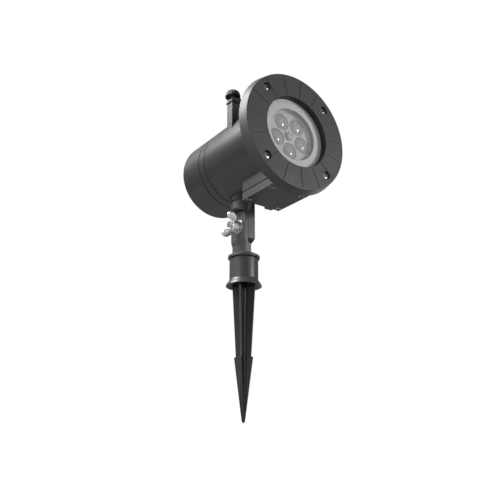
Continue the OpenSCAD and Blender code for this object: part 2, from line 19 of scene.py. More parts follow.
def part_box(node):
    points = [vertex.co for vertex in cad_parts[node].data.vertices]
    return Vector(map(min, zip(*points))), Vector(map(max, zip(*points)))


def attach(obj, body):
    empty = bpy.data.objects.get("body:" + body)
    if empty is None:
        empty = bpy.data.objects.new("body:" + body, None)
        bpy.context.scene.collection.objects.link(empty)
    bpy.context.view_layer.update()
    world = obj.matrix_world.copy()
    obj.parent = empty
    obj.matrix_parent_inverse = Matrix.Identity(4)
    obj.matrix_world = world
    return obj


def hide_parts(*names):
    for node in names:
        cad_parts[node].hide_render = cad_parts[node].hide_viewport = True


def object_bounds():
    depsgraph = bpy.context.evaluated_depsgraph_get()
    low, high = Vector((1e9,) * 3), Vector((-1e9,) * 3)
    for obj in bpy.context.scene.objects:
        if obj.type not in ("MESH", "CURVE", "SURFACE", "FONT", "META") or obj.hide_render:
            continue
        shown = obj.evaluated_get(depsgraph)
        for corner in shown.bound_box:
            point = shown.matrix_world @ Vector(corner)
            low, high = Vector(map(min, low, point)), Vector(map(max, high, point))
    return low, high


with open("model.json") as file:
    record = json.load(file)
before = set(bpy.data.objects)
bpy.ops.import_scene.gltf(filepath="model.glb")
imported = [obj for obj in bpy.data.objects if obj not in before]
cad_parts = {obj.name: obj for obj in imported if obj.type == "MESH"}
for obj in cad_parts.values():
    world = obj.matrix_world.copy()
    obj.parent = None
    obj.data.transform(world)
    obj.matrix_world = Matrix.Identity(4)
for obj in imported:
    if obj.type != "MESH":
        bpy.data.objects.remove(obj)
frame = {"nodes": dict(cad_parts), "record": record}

log = logging.getLogger("light_projector")

MM = 0.001
CAD_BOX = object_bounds()

Colour = tuple[float, float, float]
Corners = list[tuple[float, float]]


class Axis(Enum):
    """Where a turned piece's own x, y and z point in the part's frame."""

    UP = ((1, 0, 0), (0, 1, 0), (0, 0, 1))
    REAR = ((1, 0, 0), (0, 0, -1), (0, 1, 0))
    FRONT = ((1, 0, 0), (0, 0, 1), (0, -1, 0))
    BOLT_HEAD = ((0, 0, -1), (0, 1, 0), (1, 0, 0))
    BOLT_NUT = ((0, 0, 1), (0, 1, 0), (-1, 0, 0))


class Body(str, Enum):
    """The part's rigid bodies that new pieces ride on."""

    STAKE = "stake"
    STEM = "stem_body"
    WING_NUT = "wing_nut_body"
    HEAD = "head"
    LENS_WHEEL = "lens_wheel_body"
    LEFT_SCREW = "left_screw_body"
    RIGHT_SCREW = "right_screw_body"


def box_mm(node: str) -> tuple[np.ndarray, np.ndarray]:
    """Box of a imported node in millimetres.

    Args:
        node: The node's name.

    Returns:
        Its lowest and its highest corner.
    """
    low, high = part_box(node)
    return np.array(low) / MM, np.array(high) / MM


# Height of the optical axis, in metres: the middle of the bezel's box.
OPTIC_Z = float(sum(corner[2] for corner in box_mm("bezel"))) / 2 * MM

# ---------------------------------------------------------------------------
# Shapes
# ---------------------------------------------------------------------------


def smooth_step(low: float, high: float, value: np.ndarray) -> np.ndarray:
    """Rise from 0 at low to 1 at high: 3 t squared minus 2 t cubed, t being the share of the way.

    Args:
        low: Where the rise begins.
        high: Where it ends.
        value: The values to map.

    Returns:
        The rise at each value.
    """
    share = np.clip((value - low) / (high - low), 0.0, 1.0)
    return share * share * (3.0 - 2.0 * share)


def softened(
    outline: np.ndarray | Corners, reach: np.ndarray | float | list[float], steps: int = 5,
    closed: bool = True,
) -> np.ndarray:
    """Outline whose corners are rounded.

    Each corner P becomes the curve (1-t)^2 A + 2t(1-t) P + t^2 B, where A and B lie on its two sides, reach
    away from P and never past 45% of a side.

    Args:
        outline: Corners, with any leading axes: (..., corners, 2).
        reach: How far the rounding goes along each side, for all corners or for each.
        steps: Points on each rounded corner.
        closed: Whether the last corner joins the first. If not, both ends stay as they are.

    Returns:
        The rounded outline, (..., points, 2).
    """
    corners = np.asarray(outline, float)
    back = np.roll(corners, 1, axis=-2) - corners
    ahead = np.roll(corners, -1, axis=-2) - corners
    back_length = np.linalg.norm(back, axis=-1, keepdims=True)
    ahead_length = np.linalg.norm(ahead, axis=-1, keepdims=True)
    wanted = np.broadcast_to(np.asarray(reach, float), corners.shape[:-1])[..., None]
    start = corners + back / back_length * np.minimum(wanted, 0.45 * back_length)
    end = corners + ahead / ahead_length * np.minimum(wanted, 0.45 * ahead_length)
    t = np.linspace(0.0, 1.0, steps)[:, None]
    curve = (
        (1 - t) ** 2 * start[..., None, :]
        + 2 * t * (1 - t) * corners[..., None, :]
        + t**2 * end[..., None, :]
    )
    if closed:
        return curve.reshape(*corners.shape[:-2], -1, 2)
    inner = curve[..., 1:-1, :, :].reshape(*corners.shape[:-2], -1, 2)
    return np.concatenate([corners[..., :1, :], inner, corners[..., -1:, :]], axis=-2)


@dataclass
class Shell:
    """A closed surface in millimetres: points, and arrays of faces with their outsides outwards."""

    points: np.ndarray
    faces: list[np.ndarray]

    @classmethod
    def from_grid(cls, grid: np.ndarray, loop: bool = False) -> "Shell":
        """Closed surface over a grid whose columns go round.

        Neighbouring points make quads. Either the last row joins the first, or both end rows are closed by a
        fan of triangles from their mean point. A negative volume means inside out, and turns every face.

        Args:
            grid: Points, (rows, columns, 3).
            loop: Whether the rows close on themselves, as on a ring.

        Returns:
            The surface.
        """
        rows, columns = grid.shape[:2]
        number = np.arange(rows * columns).reshape(rows, columns)
        near = number if loop else number[:-1]
        far = np.roll(number, -1, axis=0) if loop else number[1:]
        quads = np.stack([near, np.roll(near, -1, axis=1), np.roll(far, -1, axis=1), far], axis=-1)
        points = grid.reshape(-1, 3)
        faces = [quads.reshape(-1, 4)]
        if not loop:
            points = np.concatenate([points, grid[0].mean(axis=0)[None], grid[-1].mean(axis=0)[None]])
            first, last = number[0], number[-1]
            pole = np.full(columns, rows * columns)
            faces.append(np.stack([np.roll(first, -1), first, pole], axis=-1))
            faces.append(np.stack([last, np.roll(last, -1), pole + 1], axis=-1))
        shell = cls(points, faces)
        return shell if shell.volume() > 0 else shell.inverted()

    @classmethod
    def joined(cls, shells: list["Shell"]) -> "Shell":
        """Several surfaces as one list of points and faces.

        Args:
            shells: The surfaces.

        Returns:
            Their union, each still closed on its own.
        """
        starts = np.cumsum([0] + [len(shell.points) for shell in shells])
        faces = [face + start for shell, start in zip(shells, starts) for face in shell.faces]
        return cls(np.concatenate([shell.points for shell in shells]), faces)

    def volume(self) -> float:
        """Signed volume: a sixth of the sum of a . (b x c) over the triangles that make up the faces.

        Returns:
            The volume, below zero for a surface that is inside out.
        """
        total = 0.0
        for face in self.faces:
            corner = self.points[face]
            for second in range(1, face.shape[1] - 1):
                cross = np.cross(corner[:, second], corner[:, second + 1])
                total += float(np.einsum("ij,ij->", corner[:, 0], cross)) / 6.0
        return total

    def inverted(self) -> "Shell":
        """The same surface with every face turned round."""
        return Shell(self.points, [face[:, ::-1] for face in self.faces])

    def turned(self, degrees: float) -> "Shell":
        """The surface turned about its own z axis.

        Args:
            degrees: How far, counterclockwise seen from +z.

        Returns:
            The turned surface.
        """
        a = math.radians(degrees)
        turn = np.array([[math.cos(a), math.sin(a), 0], [-math.sin(a), math.cos(a), 0], [0, 0, 1]])
        return Shell(self.points @ turn, self.faces)

    def moved(self, shift: tuple[float, float, float] | np.ndarray) -> "Shell":
        """The surface moved by a shift in its own axes."""
        return Shell(self.points + np.asarray(shift, float), self.faces)

    def placed(self, axis: Axis, origin: tuple[float, float, float] | np.ndarray) -> "Shell":
        """The surface carried into the part's frame.

        Args:
            axis: Where its own axes point.
            origin: Where its own origin lies.

        Returns:
            The surface in the part's frame.
        """
        return Shell(self.points @ np.array(axis.value, float) + np.asarray(origin, float), self.faces)

    def piece(
        self, name: str, body: Body, nodes: list[str], slot: str, sharp: float = 38.0
    ) -> bpy.types.Object:
        """The surface as a finished piece in metres, standing for CAD nodes.

        Args:
            name: The piece's name.
            body: The body it rides on.
            nodes: The CAD nodes that it stands for.
            slot: The record's material slot, which also names its finish.
            sharp: Angle in degrees above which an edge stays sharp.

        Returns:
            The piece.
        """
        mesh = bpy.data.meshes.new(name)
        mesh.from_pydata(self.points * MM, [], [row for face in self.faces for row in face.tolist()])
        mesh.shade_smooth()
        mesh.set_sharp_from_angle(angle=math.radians(sharp))
        mesh.materials.append(FINISHES[slot].material())
        made = bpy.data.objects.new(name, mesh)
        bpy.context.scene.collection.objects.link(made)
        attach(made, body.value)
        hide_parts(*nodes)
        log.info("%s: %d points, stands for %s", name, len(self.points), ", ".join(nodes))
        return made


def turned_shell(profile: np.ndarray | Corners, sectors: int = 96, loop: bool = False) -> Shell:
    """Surface of revolution: radius r and height z go to (r cos a, r sin a, z) for a full turn of a.

    Args:
        profile: Points of radius and height; a closed outline if loop is true.
        sectors: Points round the axis.
        loop: Whether the profile closes on itself.

    Returns:
        The surface about its own z axis.
    """
    radius, height = np.asarray(profile, float).T
    angle = np.linspace(0.0, 2 * np.pi, sectors, endpoint=False)
    x, y = np.outer(radius, np.cos(angle)), np.outer(radius, np.sin(angle))
    z = np.outer(height, np.ones(sectors))
    return Shell.from_grid(np.stack([x, y, z], axis=-1), loop)


def pillow_plate(outline: np.ndarray, thickness: float, inset: float, rows: int = 9) -> Shell:
    """Plate with rounded edges, standing across its own y axis.

    At v from -1 to 1 the outline lies at y = v times half the thickness, drawn in towards its middle by
    inset times (1 - the root of (1 - v^4)).

    Args:
        outline: Closed outline in x and z.
        thickness: Thickness along y.
        inset: How far the outline is drawn in at both faces.
        rows: Rows across the thickness.

    Returns:
        The plate.
    """
    v = np.linspace(-1.0, 1.0, rows)
    middle = outline.mean(axis=0)
    spoke = outline - middle
    length = np.linalg.norm(spoke, axis=1, keepdims=True)
    drawn = inset * (1.0 - np.sqrt(np.clip(1.0 - v**4, 0.0, 1.0)))
    flat = middle + spoke[None] * (1.0 - drawn[:, None, None] / length[None])
    side = np.broadcast_to((v * thickness / 2)[:, None], flat.shape[:2])
    return Shell.from_grid(np.stack([flat[..., 0], side, flat[..., 1]], axis=-1))


def threaded_rod(radius: float, length: float, pitch: float, depth: float, sectors: int = 40) -> Shell:
    """Rod with a helical thread and a run-out at both ends.

    The radius is the outer one less depth times half of (1 - cos(2 pi z / pitch - a)), faded in over one
    pitch at each end.

    Args:
        radius: Outer radius.
        length: Length along z, from 0.
        pitch: Rise of the thread in one turn.
        depth: Depth of the thread.
        sectors: Points round the rod.

    Returns:
        The rod about its own z axis.
    """
    height = np.linspace(0.0, length, int(length / pitch * 8) + 2)[:, None]
    angle = np.linspace(0.0, 2 * np.pi, sectors, endpoint=False)[None, :]
    fade = smooth_step(0.0, pitch, height) * smooth_step(0.0, pitch, length - height)
    wave = 0.5 * (1.0 - np.cos(2 * np.pi * height / pitch - angle))
    lead = 0.35 * depth * (1.0 - smooth_step(0.0, 0.6 * pitch, np.minimum(height, length - height)))
    reach = radius - depth * wave * fade - lead
    grid = np.stack([reach * np.cos(angle), reach * np.sin(angle), height + 0 * angle], axis=-1)
    return Shell.from_grid(grid)


def polar_positions(angles: np.ndarray, radius: float) -> list[tuple[float, float]]:
    """Points on a circle at the given angles in degrees."""
    a = np.radians(angles)
    return list(zip((radius * np.cos(a)).tolist(), (radius * np.sin(a)).tolist()))


# ---------------------------------------------------------------------------
# Shader effects
# ---------------------------------------------------------------------------


class Bench:
    """Adds nodes to one shader tree and links them."""

    def __init__(self, tree: bpy.types.NodeTree) -> None:
        """Take a tree to work on."""
        self.tree = tree

    def node(self, kind: str, settings: dict | None = None, feeds: dict | None = None) -> bpy.types.Node:
        """Add a node.

        Args:
            kind: Its type, without the leading ShaderNode.
            settings: Properties of the node.
            feeds: Input name or number to a constant, or to the output that feeds it.

        Returns:
            The node.
        """
        made = self.tree.nodes.new("ShaderNode" + kind)
        for name, value in (settings or {}).items():
            setattr(made, name, value)
        for name, value in (feeds or {}).items():
            if isinstance(value, bpy.types.NodeSocket):
                self.tree.links.new(value, made.inputs[name])
            else:
                made.inputs[name].default_value = value
        return made

    def math(self, operation: str, *values: object, clamp: bool = False) -> bpy.types.NodeSocket:
        """Output of a Math node over one, two or three values."""
        made = self.node("Math", {"operation": operation, "use_clamp": clamp}, dict(enumerate(values)))
        return made.outputs[0]

    def span(
        self, value: bpy.types.NodeSocket, low: float, high: float, start: float, end: float
    ) -> bpy.types.NodeSocket:
        """Output of a clamped Map Range node from low..high to start..end."""
        feeds = {"Value": value, "From Min": low, "From Max": high, "To Min": start, "To Max": end}
        return self.node("MapRange", {"clamp": True}, feeds).outputs["Result"]

    def blend(self, share: object, first: object, second: object) -> bpy.types.NodeSocket:
        """Output of a colour Mix node, from first at 0 to second at 1."""
        feeds = {0: share, 6: colour_value(first), 7: colour_value(second)}
        return self.node("Mix", {"data_type": "RGBA"}, feeds).outputs[2]

    def noise(self, place: object, scale: object, detail: float = 2.0) -> bpy.types.NodeSocket:
        """Value of a Noise texture at a place, with its scale per metre."""
        return self.node("TexNoise", None, {"Vector": place, "Scale": scale, "Detail": detail}).outputs[0]

    def off_axis(self) -> bpy.types.NodeSocket:
        """Distance of the shaded point from the optical axis: the root of x squared plus height squared.

        Returns:
            The distance in metres.
        """
        part = self.node("SeparateXYZ", None, {0: self.node("TexCoord").outputs["Object"]}).outputs
        high = self.math("SUBTRACT", part["Z"], OPTIC_Z)
        across_squared = self.math("MULTIPLY", part["X"], part["X"])
        square = self.math("ADD", across_squared, self.math("MULTIPLY", high, high))
        return self.math("SQRT", square)

    def relief(
        self, strength: object, depth: float, height: bpy.types.NodeSocket,
        normal: bpy.types.NodeSocket | None = None, inward: bool = False,
    ) -> bpy.types.NodeSocket:
        """Normal of a Bump node.

        Args:
            strength: Its strength, a number or an output.
            depth: Depth of the relief in metres at height 1.
            height: What raises the surface.
            normal: The normal that the relief is laid on, or None for the surface's own.
            inward: Whether the height sinks in instead.

        Returns:
            The bumped normal.
        """
        feeds = {"Strength": strength, "Distance": depth, "Height": height}
        if normal is not None:
            feeds["Normal"] = normal
        return self.node("Bump", {"invert": inward}, feeds).outputs[0]

    def wire(self, shader: bpy.types.Node, feeds: dict[str, bpy.types.NodeSocket]) -> None:
        """Link outputs to a shader's named sockets."""
        for name, source in feeds.items():
            self.tree.links.new(source, shader.inputs[name])


def colour_value(value: object) -> object:
    """A colour as four numbers, or an output as it is."""
    return value if isinstance(value, bpy.types.NodeSocket) else (*value, 1.0)


@dataclass(frozen=True)
class Effect:
    """A shader node group that several finishes share, built once."""

    title: str
    inputs: tuple[tuple[str, float], ...]
    outputs: tuple[tuple[str, str], ...]

    def group(self) -> bpy.types.NodeTree:
        """The group, built on first use.

        Returns:
            The node group with this effect's named inputs and outputs.
        """
        known = bpy.data.node_groups.get(self.title)
        if known is not None:
            return known
        tree = bpy.data.node_groups.new(self.title, "ShaderNodeTree")
        for name, value in self.inputs:
            socket = tree.interface.new_socket(name, in_out="INPUT", socket_type="NodeSocketFloat")
            socket.default_value = value
        for name, kind in self.outputs:
            tree.interface.new_socket(name, in_out="OUTPUT", socket_type="NodeSocket" + kind)
        bench = Bench(tree)
        source = tree.nodes.new("NodeGroupInput")
        sink = tree.nodes.new("NodeGroupOutput")
        for name, socket in self.build(bench, source.outputs).items():
            tree.links.new(socket, sink.inputs[name])
        return tree

    def build(self, bench: Bench, source: bpy.types.bpy_prop_collection) -> dict[str, bpy.types.NodeSocket]:
        """Fill the group and give what feeds each named output."""
        raise NotImplementedError

    def place(self, bench: Bench, **values: object) -> bpy.types.NodeOutputs:
        """Place the group in a material.

        Args:
            bench: The material's bench.
            values: Input names, with underscores for spaces, to constants or outputs.

        Returns:
            The placed group's outputs.
        """
        made = bench.node("Group", {"node_tree": self.group()})
        for name, value in values.items():
            socket = made.inputs[name.replace("_", " ")]
            if isinstance(value, bpy.types.NodeSocket):
                bench.tree.links.new(value, socket)
            else:
                socket.default_value = value
        return made.outputs


class MouldSurface(Effect):
    """Fine pitted grain of a spark-eroded mould, over slow flow marks in the plastic."""

    def build(self, bench: Bench, source: bpy.types.bpy_prop_collection) -> dict[str, bpy.types.NodeSocket]:
        """Height is cells over noise; Shade is slow noise with a little of the grain.

        Args:
            bench: The group's bench.
            source: The group's inputs.

        Returns:
            What feeds each named output.
        """
        place = bench.node("TexCoord").outputs["Object"]
        sizes = {"Vector": place, "Scale": source["Grain"]}
        cells = bench.node("TexVoronoi", {"feature": "SMOOTH_F1"}, sizes).outputs["Distance"]
        fine = bench.noise(place, bench.math("MULTIPLY", source["Grain"], 2.3), 3.0)
        height = bench.math("ADD", bench.math("MULTIPLY", cells, 0.6), bench.math("MULTIPLY", fine, 0.4))
        flow = bench.noise(place, source["Flow"], 4.0)
        shade = bench.math("ADD", bench.math("MULTIPLY", flow, 0.8), bench.math("MULTIPLY", fine, 0.2))
        return {"Height": height, "Shade": bench.span(shade, 0.3, 0.7, 0.0, 1.0)}


class SoftEdge(Effect):
    """Rounded look of edges, and a broken mask along them where handling polishes the piece."""

    def build(self, bench: Bench, source: bpy.types.bpy_prop_collection) -> dict[str, bpy.types.NodeSocket]:
        """Wear is how far the rounded normal leans from the true one, broken by noise.

        Args:
            bench: The group's bench.
            source: The group's inputs.

        Returns:
            What feeds each named output.
        """
        soft = bench.node("Bevel", {"samples": 4}, {"Radius": source["Radius"]}).outputs["Normal"]
        true = bench.node("NewGeometry").outputs["Normal"]
        alike = bench.node("VectorMath", {"operation": "DOT_PRODUCT"}, {0: soft, 1: true}).outputs["Value"]
        lean = bench.span(bench.math("SUBTRACT", 1.0, alike), 0.01, 0.12, 0.0, 1.0)
        place = bench.node("TexCoord").outputs["Object"]
        broken = bench.span(bench.noise(place, source["Break"], 4.0), 0.42, 0.62, 0.0, 1.0)
        return {"Normal": soft, "Wear": bench.math("MULTIPLY", lean, broken)}


class SettledDust(Effect):
    """Pale dust that gathers on surfaces facing up."""

    def build(self, bench: Bench, source: bpy.types.bpy_prop_collection) -> dict[str, bpy.types.NodeSocket]:
        """Dust is the upward share of the normal times patchy noise times the amount.

        Args:
            bench: The group's bench.
            source: The group's inputs.

        Returns:
            What feeds each named output.
        """
        normal = bench.node("NewGeometry").outputs["Normal"]
        up = bench.node("SeparateXYZ", None, {0: normal}).outputs["Z"]
        place = bench.node("TexCoord").outputs["Object"]
        patch = bench.span(bench.noise(place, 900.0, 5.0), 0.30, 0.80, 0.2, 1.0)
        facing = bench.math("MULTIPLY", bench.span(up, 0.15, 1.0, 0.0, 1.0), patch)
        return {"Dust": bench.math("MULTIPLY", facing, source["Amount"], clamp=True)}


class FineScratches(Effect):
    """Short fine scratches in two directions, as on a plated nut."""

    def build(self, bench: Bench, source: bpy.types.bpy_prop_collection) -> dict[str, bpy.types.NodeSocket]:
        """Scratches are the thin peaks of two noises stretched along different directions.

        Args:
            bench: The group's bench.
            source: The group's inputs.

        Returns:
            What feeds each named output.
        """
        place = bench.node("TexCoord").outputs["Object"]
        marks = []
        for turn in ((0.4, 0.9, 0.2), (1.3, 0.3, 1.1)):
            stretch = {"Vector": place, "Rotation": turn, "Scale": (1.0, 14.0, 6.0)}
            stretched = bench.node("Mapping", None, stretch)
            value = bench.noise(stretched.outputs[0], source["Fineness"], 2.0)
            marks.append(bench.span(value, 0.60, 0.68, 0.0, 1.0))
        cloud = bench.span(bench.noise(place, 220.0, 3.0), 0.35, 0.65, 0.0, 1.0)
        return {"Scratches": bench.math("MAXIMUM", *marks), "Cloud": cloud}


class BoardTracks(Effect):
    """Copper tracks and round pads under the solder mask of a circuit board."""

    def build(self, bench: Bench, source: bpy.types.bpy_prop_collection) -> dict[str, bpy.types.NodeSocket]:
        """Tracks are the edges of stretched cells, and pads the middles of small ones.

        Args:
            bench: The group's bench.
            source: The group's inputs.

        Returns:
            What feeds each named output.
        """
        place = bench.node("TexCoord").outputs["Object"]
        net = bench.node("TexVoronoi", {"feature": "DISTANCE_TO_EDGE", "distance": "EUCLIDEAN"},
                         {"Vector": place, "Scale": source["Pitch"]})
        closer = bench.math("MULTIPLY", source["Pitch"], 1.7)
        dots = bench.node("TexVoronoi", None, {"Vector": place, "Scale": closer})
        tracks = bench.span(net.outputs["Distance"], 0.05, 0.08, 1.0, 0.0)
        return {"Tracks": tracks, "Pads": bench.span(dots.outputs["Distance"], 0.16, 0.2, 1.0, 0.0)}


MOULD = MouldSurface(
    "mould surface", (("Grain", 1800.0), ("Flow", 60.0)), (("Height", "Float"), ("Shade", "Float"))
)
EDGE = SoftEdge(
    "soft edge", (("Radius", 0.0003), ("Break", 700.0)), (("Normal", "Vector"), ("Wear", "Float"))
)
DUST = SettledDust("settled dust", (("Amount", 0.1),), (("Dust", "Float"),))
SCRATCHES = FineScratches(
    "fine scratches", (("Fineness", 260.0),), (("Scratches", "Float"), ("Cloud", "Float"))
)
TRACKS = BoardTracks("board tracks", (("Pitch", 320.0),), (("Tracks", "Float"), ("Pads", "Float")))


# ---------------------------------------------------------------------------
# Finishes
# ---------------------------------------------------------------------------


@dataclass(frozen=True)
class Finish:
    """A material of the object, built once."""

    title: str
    colour: Colour
    roughness: float

    def material(self) -> bpy.types.Material:
        """The finish's material, built on first use.

        Returns:
            The material, with a Principled shader that feed has wired.
        """
        known = bpy.data.materials.get(self.title)
        if known is not None:
            return known
        made = bpy.data.materials.new(self.title)
        made.use_nodes = True
        made.node_tree.nodes.clear()
        bench = Bench(made.node_tree)
        shader = bench.node("BsdfPrincipled")
        self.feed(bench, shader)
        bench.node("OutputMaterial", None, {"Surface": shader.outputs[0]})
        return made

    def feed(self, bench: Bench, shader: bpy.types.Node) -> None:
        """Link or set the shader's sockets."""
        raise NotImplementedError

    def shades(self, spread: float) -> tuple[Colour, Colour]:
        """The colour darkened and lightened by a share.

        Args:
            spread: Share to darken and to lighten by.

        Returns:
            The darker colour and the lighter one.
        """
        dark = tuple(c * (1.0 - spread) for c in self.colour)
        light = tuple(min(1.0, c * (1.0 + spread)) for c in self.colour)
        return dark, light


@dataclass(frozen=True)
class Moulded(Finish):
    """Injection-moulded plastic or rubber with grain, polished edges and dust."""

    grain: float = 2200.0
    depth: float = 0.00003
    bump: float = 0.35
    spread: float = 0.09
    edge: float = 0.00028
    polish: Colour = (0.11, 0.11, 0.112)
    wear: float = 0.5
    dust: float = 0.035
    specular: float = 0.5
    coat: float = 0.0
    clear: float = 0.0

    def feed(self, bench: Bench, shader: bpy.types.Node) -> None:
        """Colour from shade, wear and dust; roughness from shade and wear; normal from edge and grain.

        Args:
            bench: The material's bench.
            shader: The Principled shader whose sockets are fed.
        """
        mould = MOULD.place(bench, Grain=self.grain, Flow=55.0)
        edge = EDGE.place(bench, Radius=self.edge, Break=650.0)
        dust = DUST.place(bench, Amount=self.dust)["Dust"]
        dark, light = self.shades(self.spread)
        base = bench.blend(mould["Shade"], dark, light)
        worn_share = bench.math("MULTIPLY", edge["Wear"], self.wear)
        worn = bench.blend(worn_share, base, self.polish)
        dusty = bench.blend(dust, worn, (0.42, 0.40, 0.37))
        rough = bench.span(mould["Shade"], 0.0, 1.0, self.roughness + 0.05, self.roughness - 0.05)
        rough = bench.math("SUBTRACT", rough, bench.math("MULTIPLY", worn_share, 0.12))
        rough = bench.math("ADD", rough, bench.math("MULTIPLY", dust, 0.35), clamp=True)
        bump = bench.relief(self.bump, self.depth, mould["Height"], edge["Normal"])
        bench.wire(shader, {"Base Color": dusty, "Roughness": rough, "Normal": bump})
        shader.inputs["Specular IOR Level"].default_value = self.specular
        shader.inputs["Coat Weight"].default_value = self.coat
        shader.inputs["Transmission Weight"].default_value = self.clear


@dataclass(frozen=True)
class PaintedBoreShade(Moulded):
    """Moulded plastic with painted shade: its round bore about the optical axis is painted black."""

    bore_r: float = 0.0309
    face_r: float = 0.0313
    # Painted shade: the near-black colour painted on the bore's wall, where shade falls.
    black: Colour = (0.003, 0.003, 0.003)

    def feed(self, bench: Bench, shader: bpy.types.Node) -> None:
        """Distance from the optical axis turns the plastic's colour to black inside the bore, as painted
        shade.

        Args:
            bench: The material's bench.
            shader: The Principled shader whose sockets are fed.
        """
        super().feed(bench, shader)
        plastic = shader.inputs["Base Color"].links[0].from_socket
        # Mask of the painted shade: 1 inside the bore, falling to 0 at the face.
        bore = bench.span(bench.off_axis(), self.bore_r, self.face_r, 1.0, 0.0)
        bench.tree.links.new(bench.blend(bore, plastic, self.black), shader.inputs["Base Color"])


@dataclass(frozen=True)
class Metal(Finish):
    """Plated, brushed or cast metal with scratches and a little tarnish."""

    tarnish: Colour = (0.30, 0.29, 0.28)
    cover: float = 0.35
    fineness: float = 260.0
    depth: float = 0.00002
    edge: float = 0.0002

    def feed(self, bench: Bench, shader: bpy.types.Node) -> None:
        """Tarnish lies in clouds, scratches roughen, and edges stay bright.

        Args:
            bench: The material's bench.
            shader: The Principled shader whose sockets are fed.
        """
        marks = SCRATCHES.place(bench, Fineness=self.fineness)
        edge = EDGE.place(bench, Radius=self.edge, Break=900.0)
        dulled = bench.blend(bench.math("MULTIPLY", marks["Cloud"], self.cover), self.colour, self.tarnish)
        bright = bench.blend(edge["Wear"], dulled, tuple(min(1.0, c * 1.15) for c in self.colour))
        plain = bench.span(marks["Cloud"], 0.0, 1.0, self.roughness - 0.04, self.roughness + 0.10)
        rough = bench.math("ADD", plain, bench.math("MULTIPLY", marks["Scratches"], 0.15), clamp=True)
        bump = bench.relief(0.3, self.depth, marks["Scratches"], edge["Normal"], inward=True)
        bench.wire(shader, {"Base Color": bright, "Roughness": rough, "Normal": bump})
        shader.inputs["Metallic"].default_value = 1.0


@dataclass(frozen=True)
class Glazed(Finish):
    """Clear moulded lens plastic with a faint ripple and smears."""

    transmission: float = 1.0
    ior: float = 1.49
    ripple: float = 240.0
    depth: float = 0.00004

    def feed(self, bench: Bench, shader: bpy.types.Node) -> None:
        """Smears change the roughness, and slow noise ripples the surface and its tint.

        Args:
            bench: The material's bench.
            shader: The Principled shader whose sockets are fed.
        """
        place = bench.node("TexCoord").outputs["Object"]
        smear = bench.span(bench.noise(place, 120.0, 5.0), 0.4, 0.7, self.roughness, self.roughness + 0.08)
        ripple = bench.noise(place, self.ripple, 2.0)
        dark, light = self.shades(0.05)
        bump = bench.relief(0.4, self.depth, ripple)
        base = bench.blend(ripple, dark, light)
        bench.wire(shader, {"Base Color": base, "Roughness": smear, "Normal": bump})
        shader.inputs["Transmission Weight"].default_value = self.transmission
        shader.inputs["IOR"].default_value = self.ior


@dataclass(frozen=True)
class RimmedWindow(Finish):
    """Window that is clear in its middle and frosted towards its rim."""

    clear_r: float = 0.0222
    frost_r: float = 0.0230
    clear_alpha: float = 0.10
    frost_alpha: float = 0.92
    depth: float = 0.00003

    def feed(self, bench: Bench, shader: bpy.types.Node) -> None:
        """Distance from the optical axis sets how opaque and how rough the window is.

        Args:
            bench: The material's bench.
            shader: The Principled shader whose sockets are fed.
        """
        place = bench.node("TexCoord").outputs["Object"]
        frost = bench.span(bench.off_axis(), self.clear_r, self.frost_r, 0.0, 1.0)
        grain = bench.noise(place, 2600.0, 3.0)
        smear = bench.noise(place, 90.0, 5.0)
        dark, light = self.shades(0.06)
        bump = bench.relief(bench.math("MULTIPLY", frost, 0.25), self.depth, grain)
        plain = bench.span(frost, 0.0, 1.0, 0.04, self.roughness)
        rough = bench.math("ADD", plain, bench.math("MULTIPLY", smear, 0.06))
        alpha = bench.span(frost, 0.0, 1.0, self.clear_alpha, self.frost_alpha)
        base = bench.blend(smear, dark, light)
        bench.wire(shader, {"Base Color": base, "Roughness": rough, "Alpha": alpha, "Normal": bump})


@dataclass(frozen=True)
class Board(Finish):
    """Circuit board with tracks under a solder mask and tinned pads."""

    track: Colour = (0.05, 0.30, 0.10)
    pad: Colour = (0.75, 0.74, 0.70)
    pitch: float = 320.0
    depth: float = 0.00004

    def feed(self, bench: Bench, shader: bpy.types.Node) -> None:
        """Tracks lift the mask a little; pads are bright and metallic.

        Args:
            bench: The material's bench.
            shader: The Principled shader whose sockets are fed.
        """
        net = TRACKS.place(bench, Pitch=self.pitch)
        masked = bench.blend(net["Tracks"], self.colour, self.track)
        base = bench.blend(net["Pads"], masked, self.pad)
        rough = bench.span(net["Pads"], 0.0, 1.0, self.roughness, 0.25)
        bump = bench.relief(0.5, self.depth, bench.math("ADD", net["Tracks"], net["Pads"]))
        bench.wire(shader, {"Base Color": base, "Metallic": net["Pads"], "Roughness": rough, "Normal": bump})


@dataclass(frozen=True)
class PrintedFilm(Finish):
    """Projection film: coloured flakes on a dark ground, slightly glossy."""

    flake: Colour = (0.25, 0.45, 0.95)
    other: Colour = (0.85, 0.90, 1.0)
    size: float = 210.0

    def feed(self, bench: Bench, shader: bpy.types.Node) -> None:
        """Each cell is a flake: a disc with a fringe, in one of two colours.

        Args:
            bench: The material's bench.
            shader: The Principled shader whose sockets are fed.
        """
        place = bench.node("TexCoord").outputs["Object"]
        cells = bench.node("TexVoronoi", None, {"Vector": place, "Scale": self.size})
        fringe = bench.math("MULTIPLY", bench.noise(place, 1500.0, 2.0), 0.18)
        reach = bench.math("ADD", cells.outputs["Distance"], fringe)
        disc = bench.span(reach, 0.36, 0.42, 1.0, 0.0)
        choice = bench.node("SeparateColor", None, {0: cells.outputs["Color"]}).outputs[0]
        print_colour = bench.blend(bench.span(choice, 0.45, 0.55, 0.0, 1.0), self.flake, self.other)
        base = bench.blend(disc, self.colour, print_colour)
        rough = bench.span(disc, 0.0, 1.0, self.roughness, self.roughness + 0.15)
        bench.wire(shader, {"Base Color": base, "Roughness": rough})


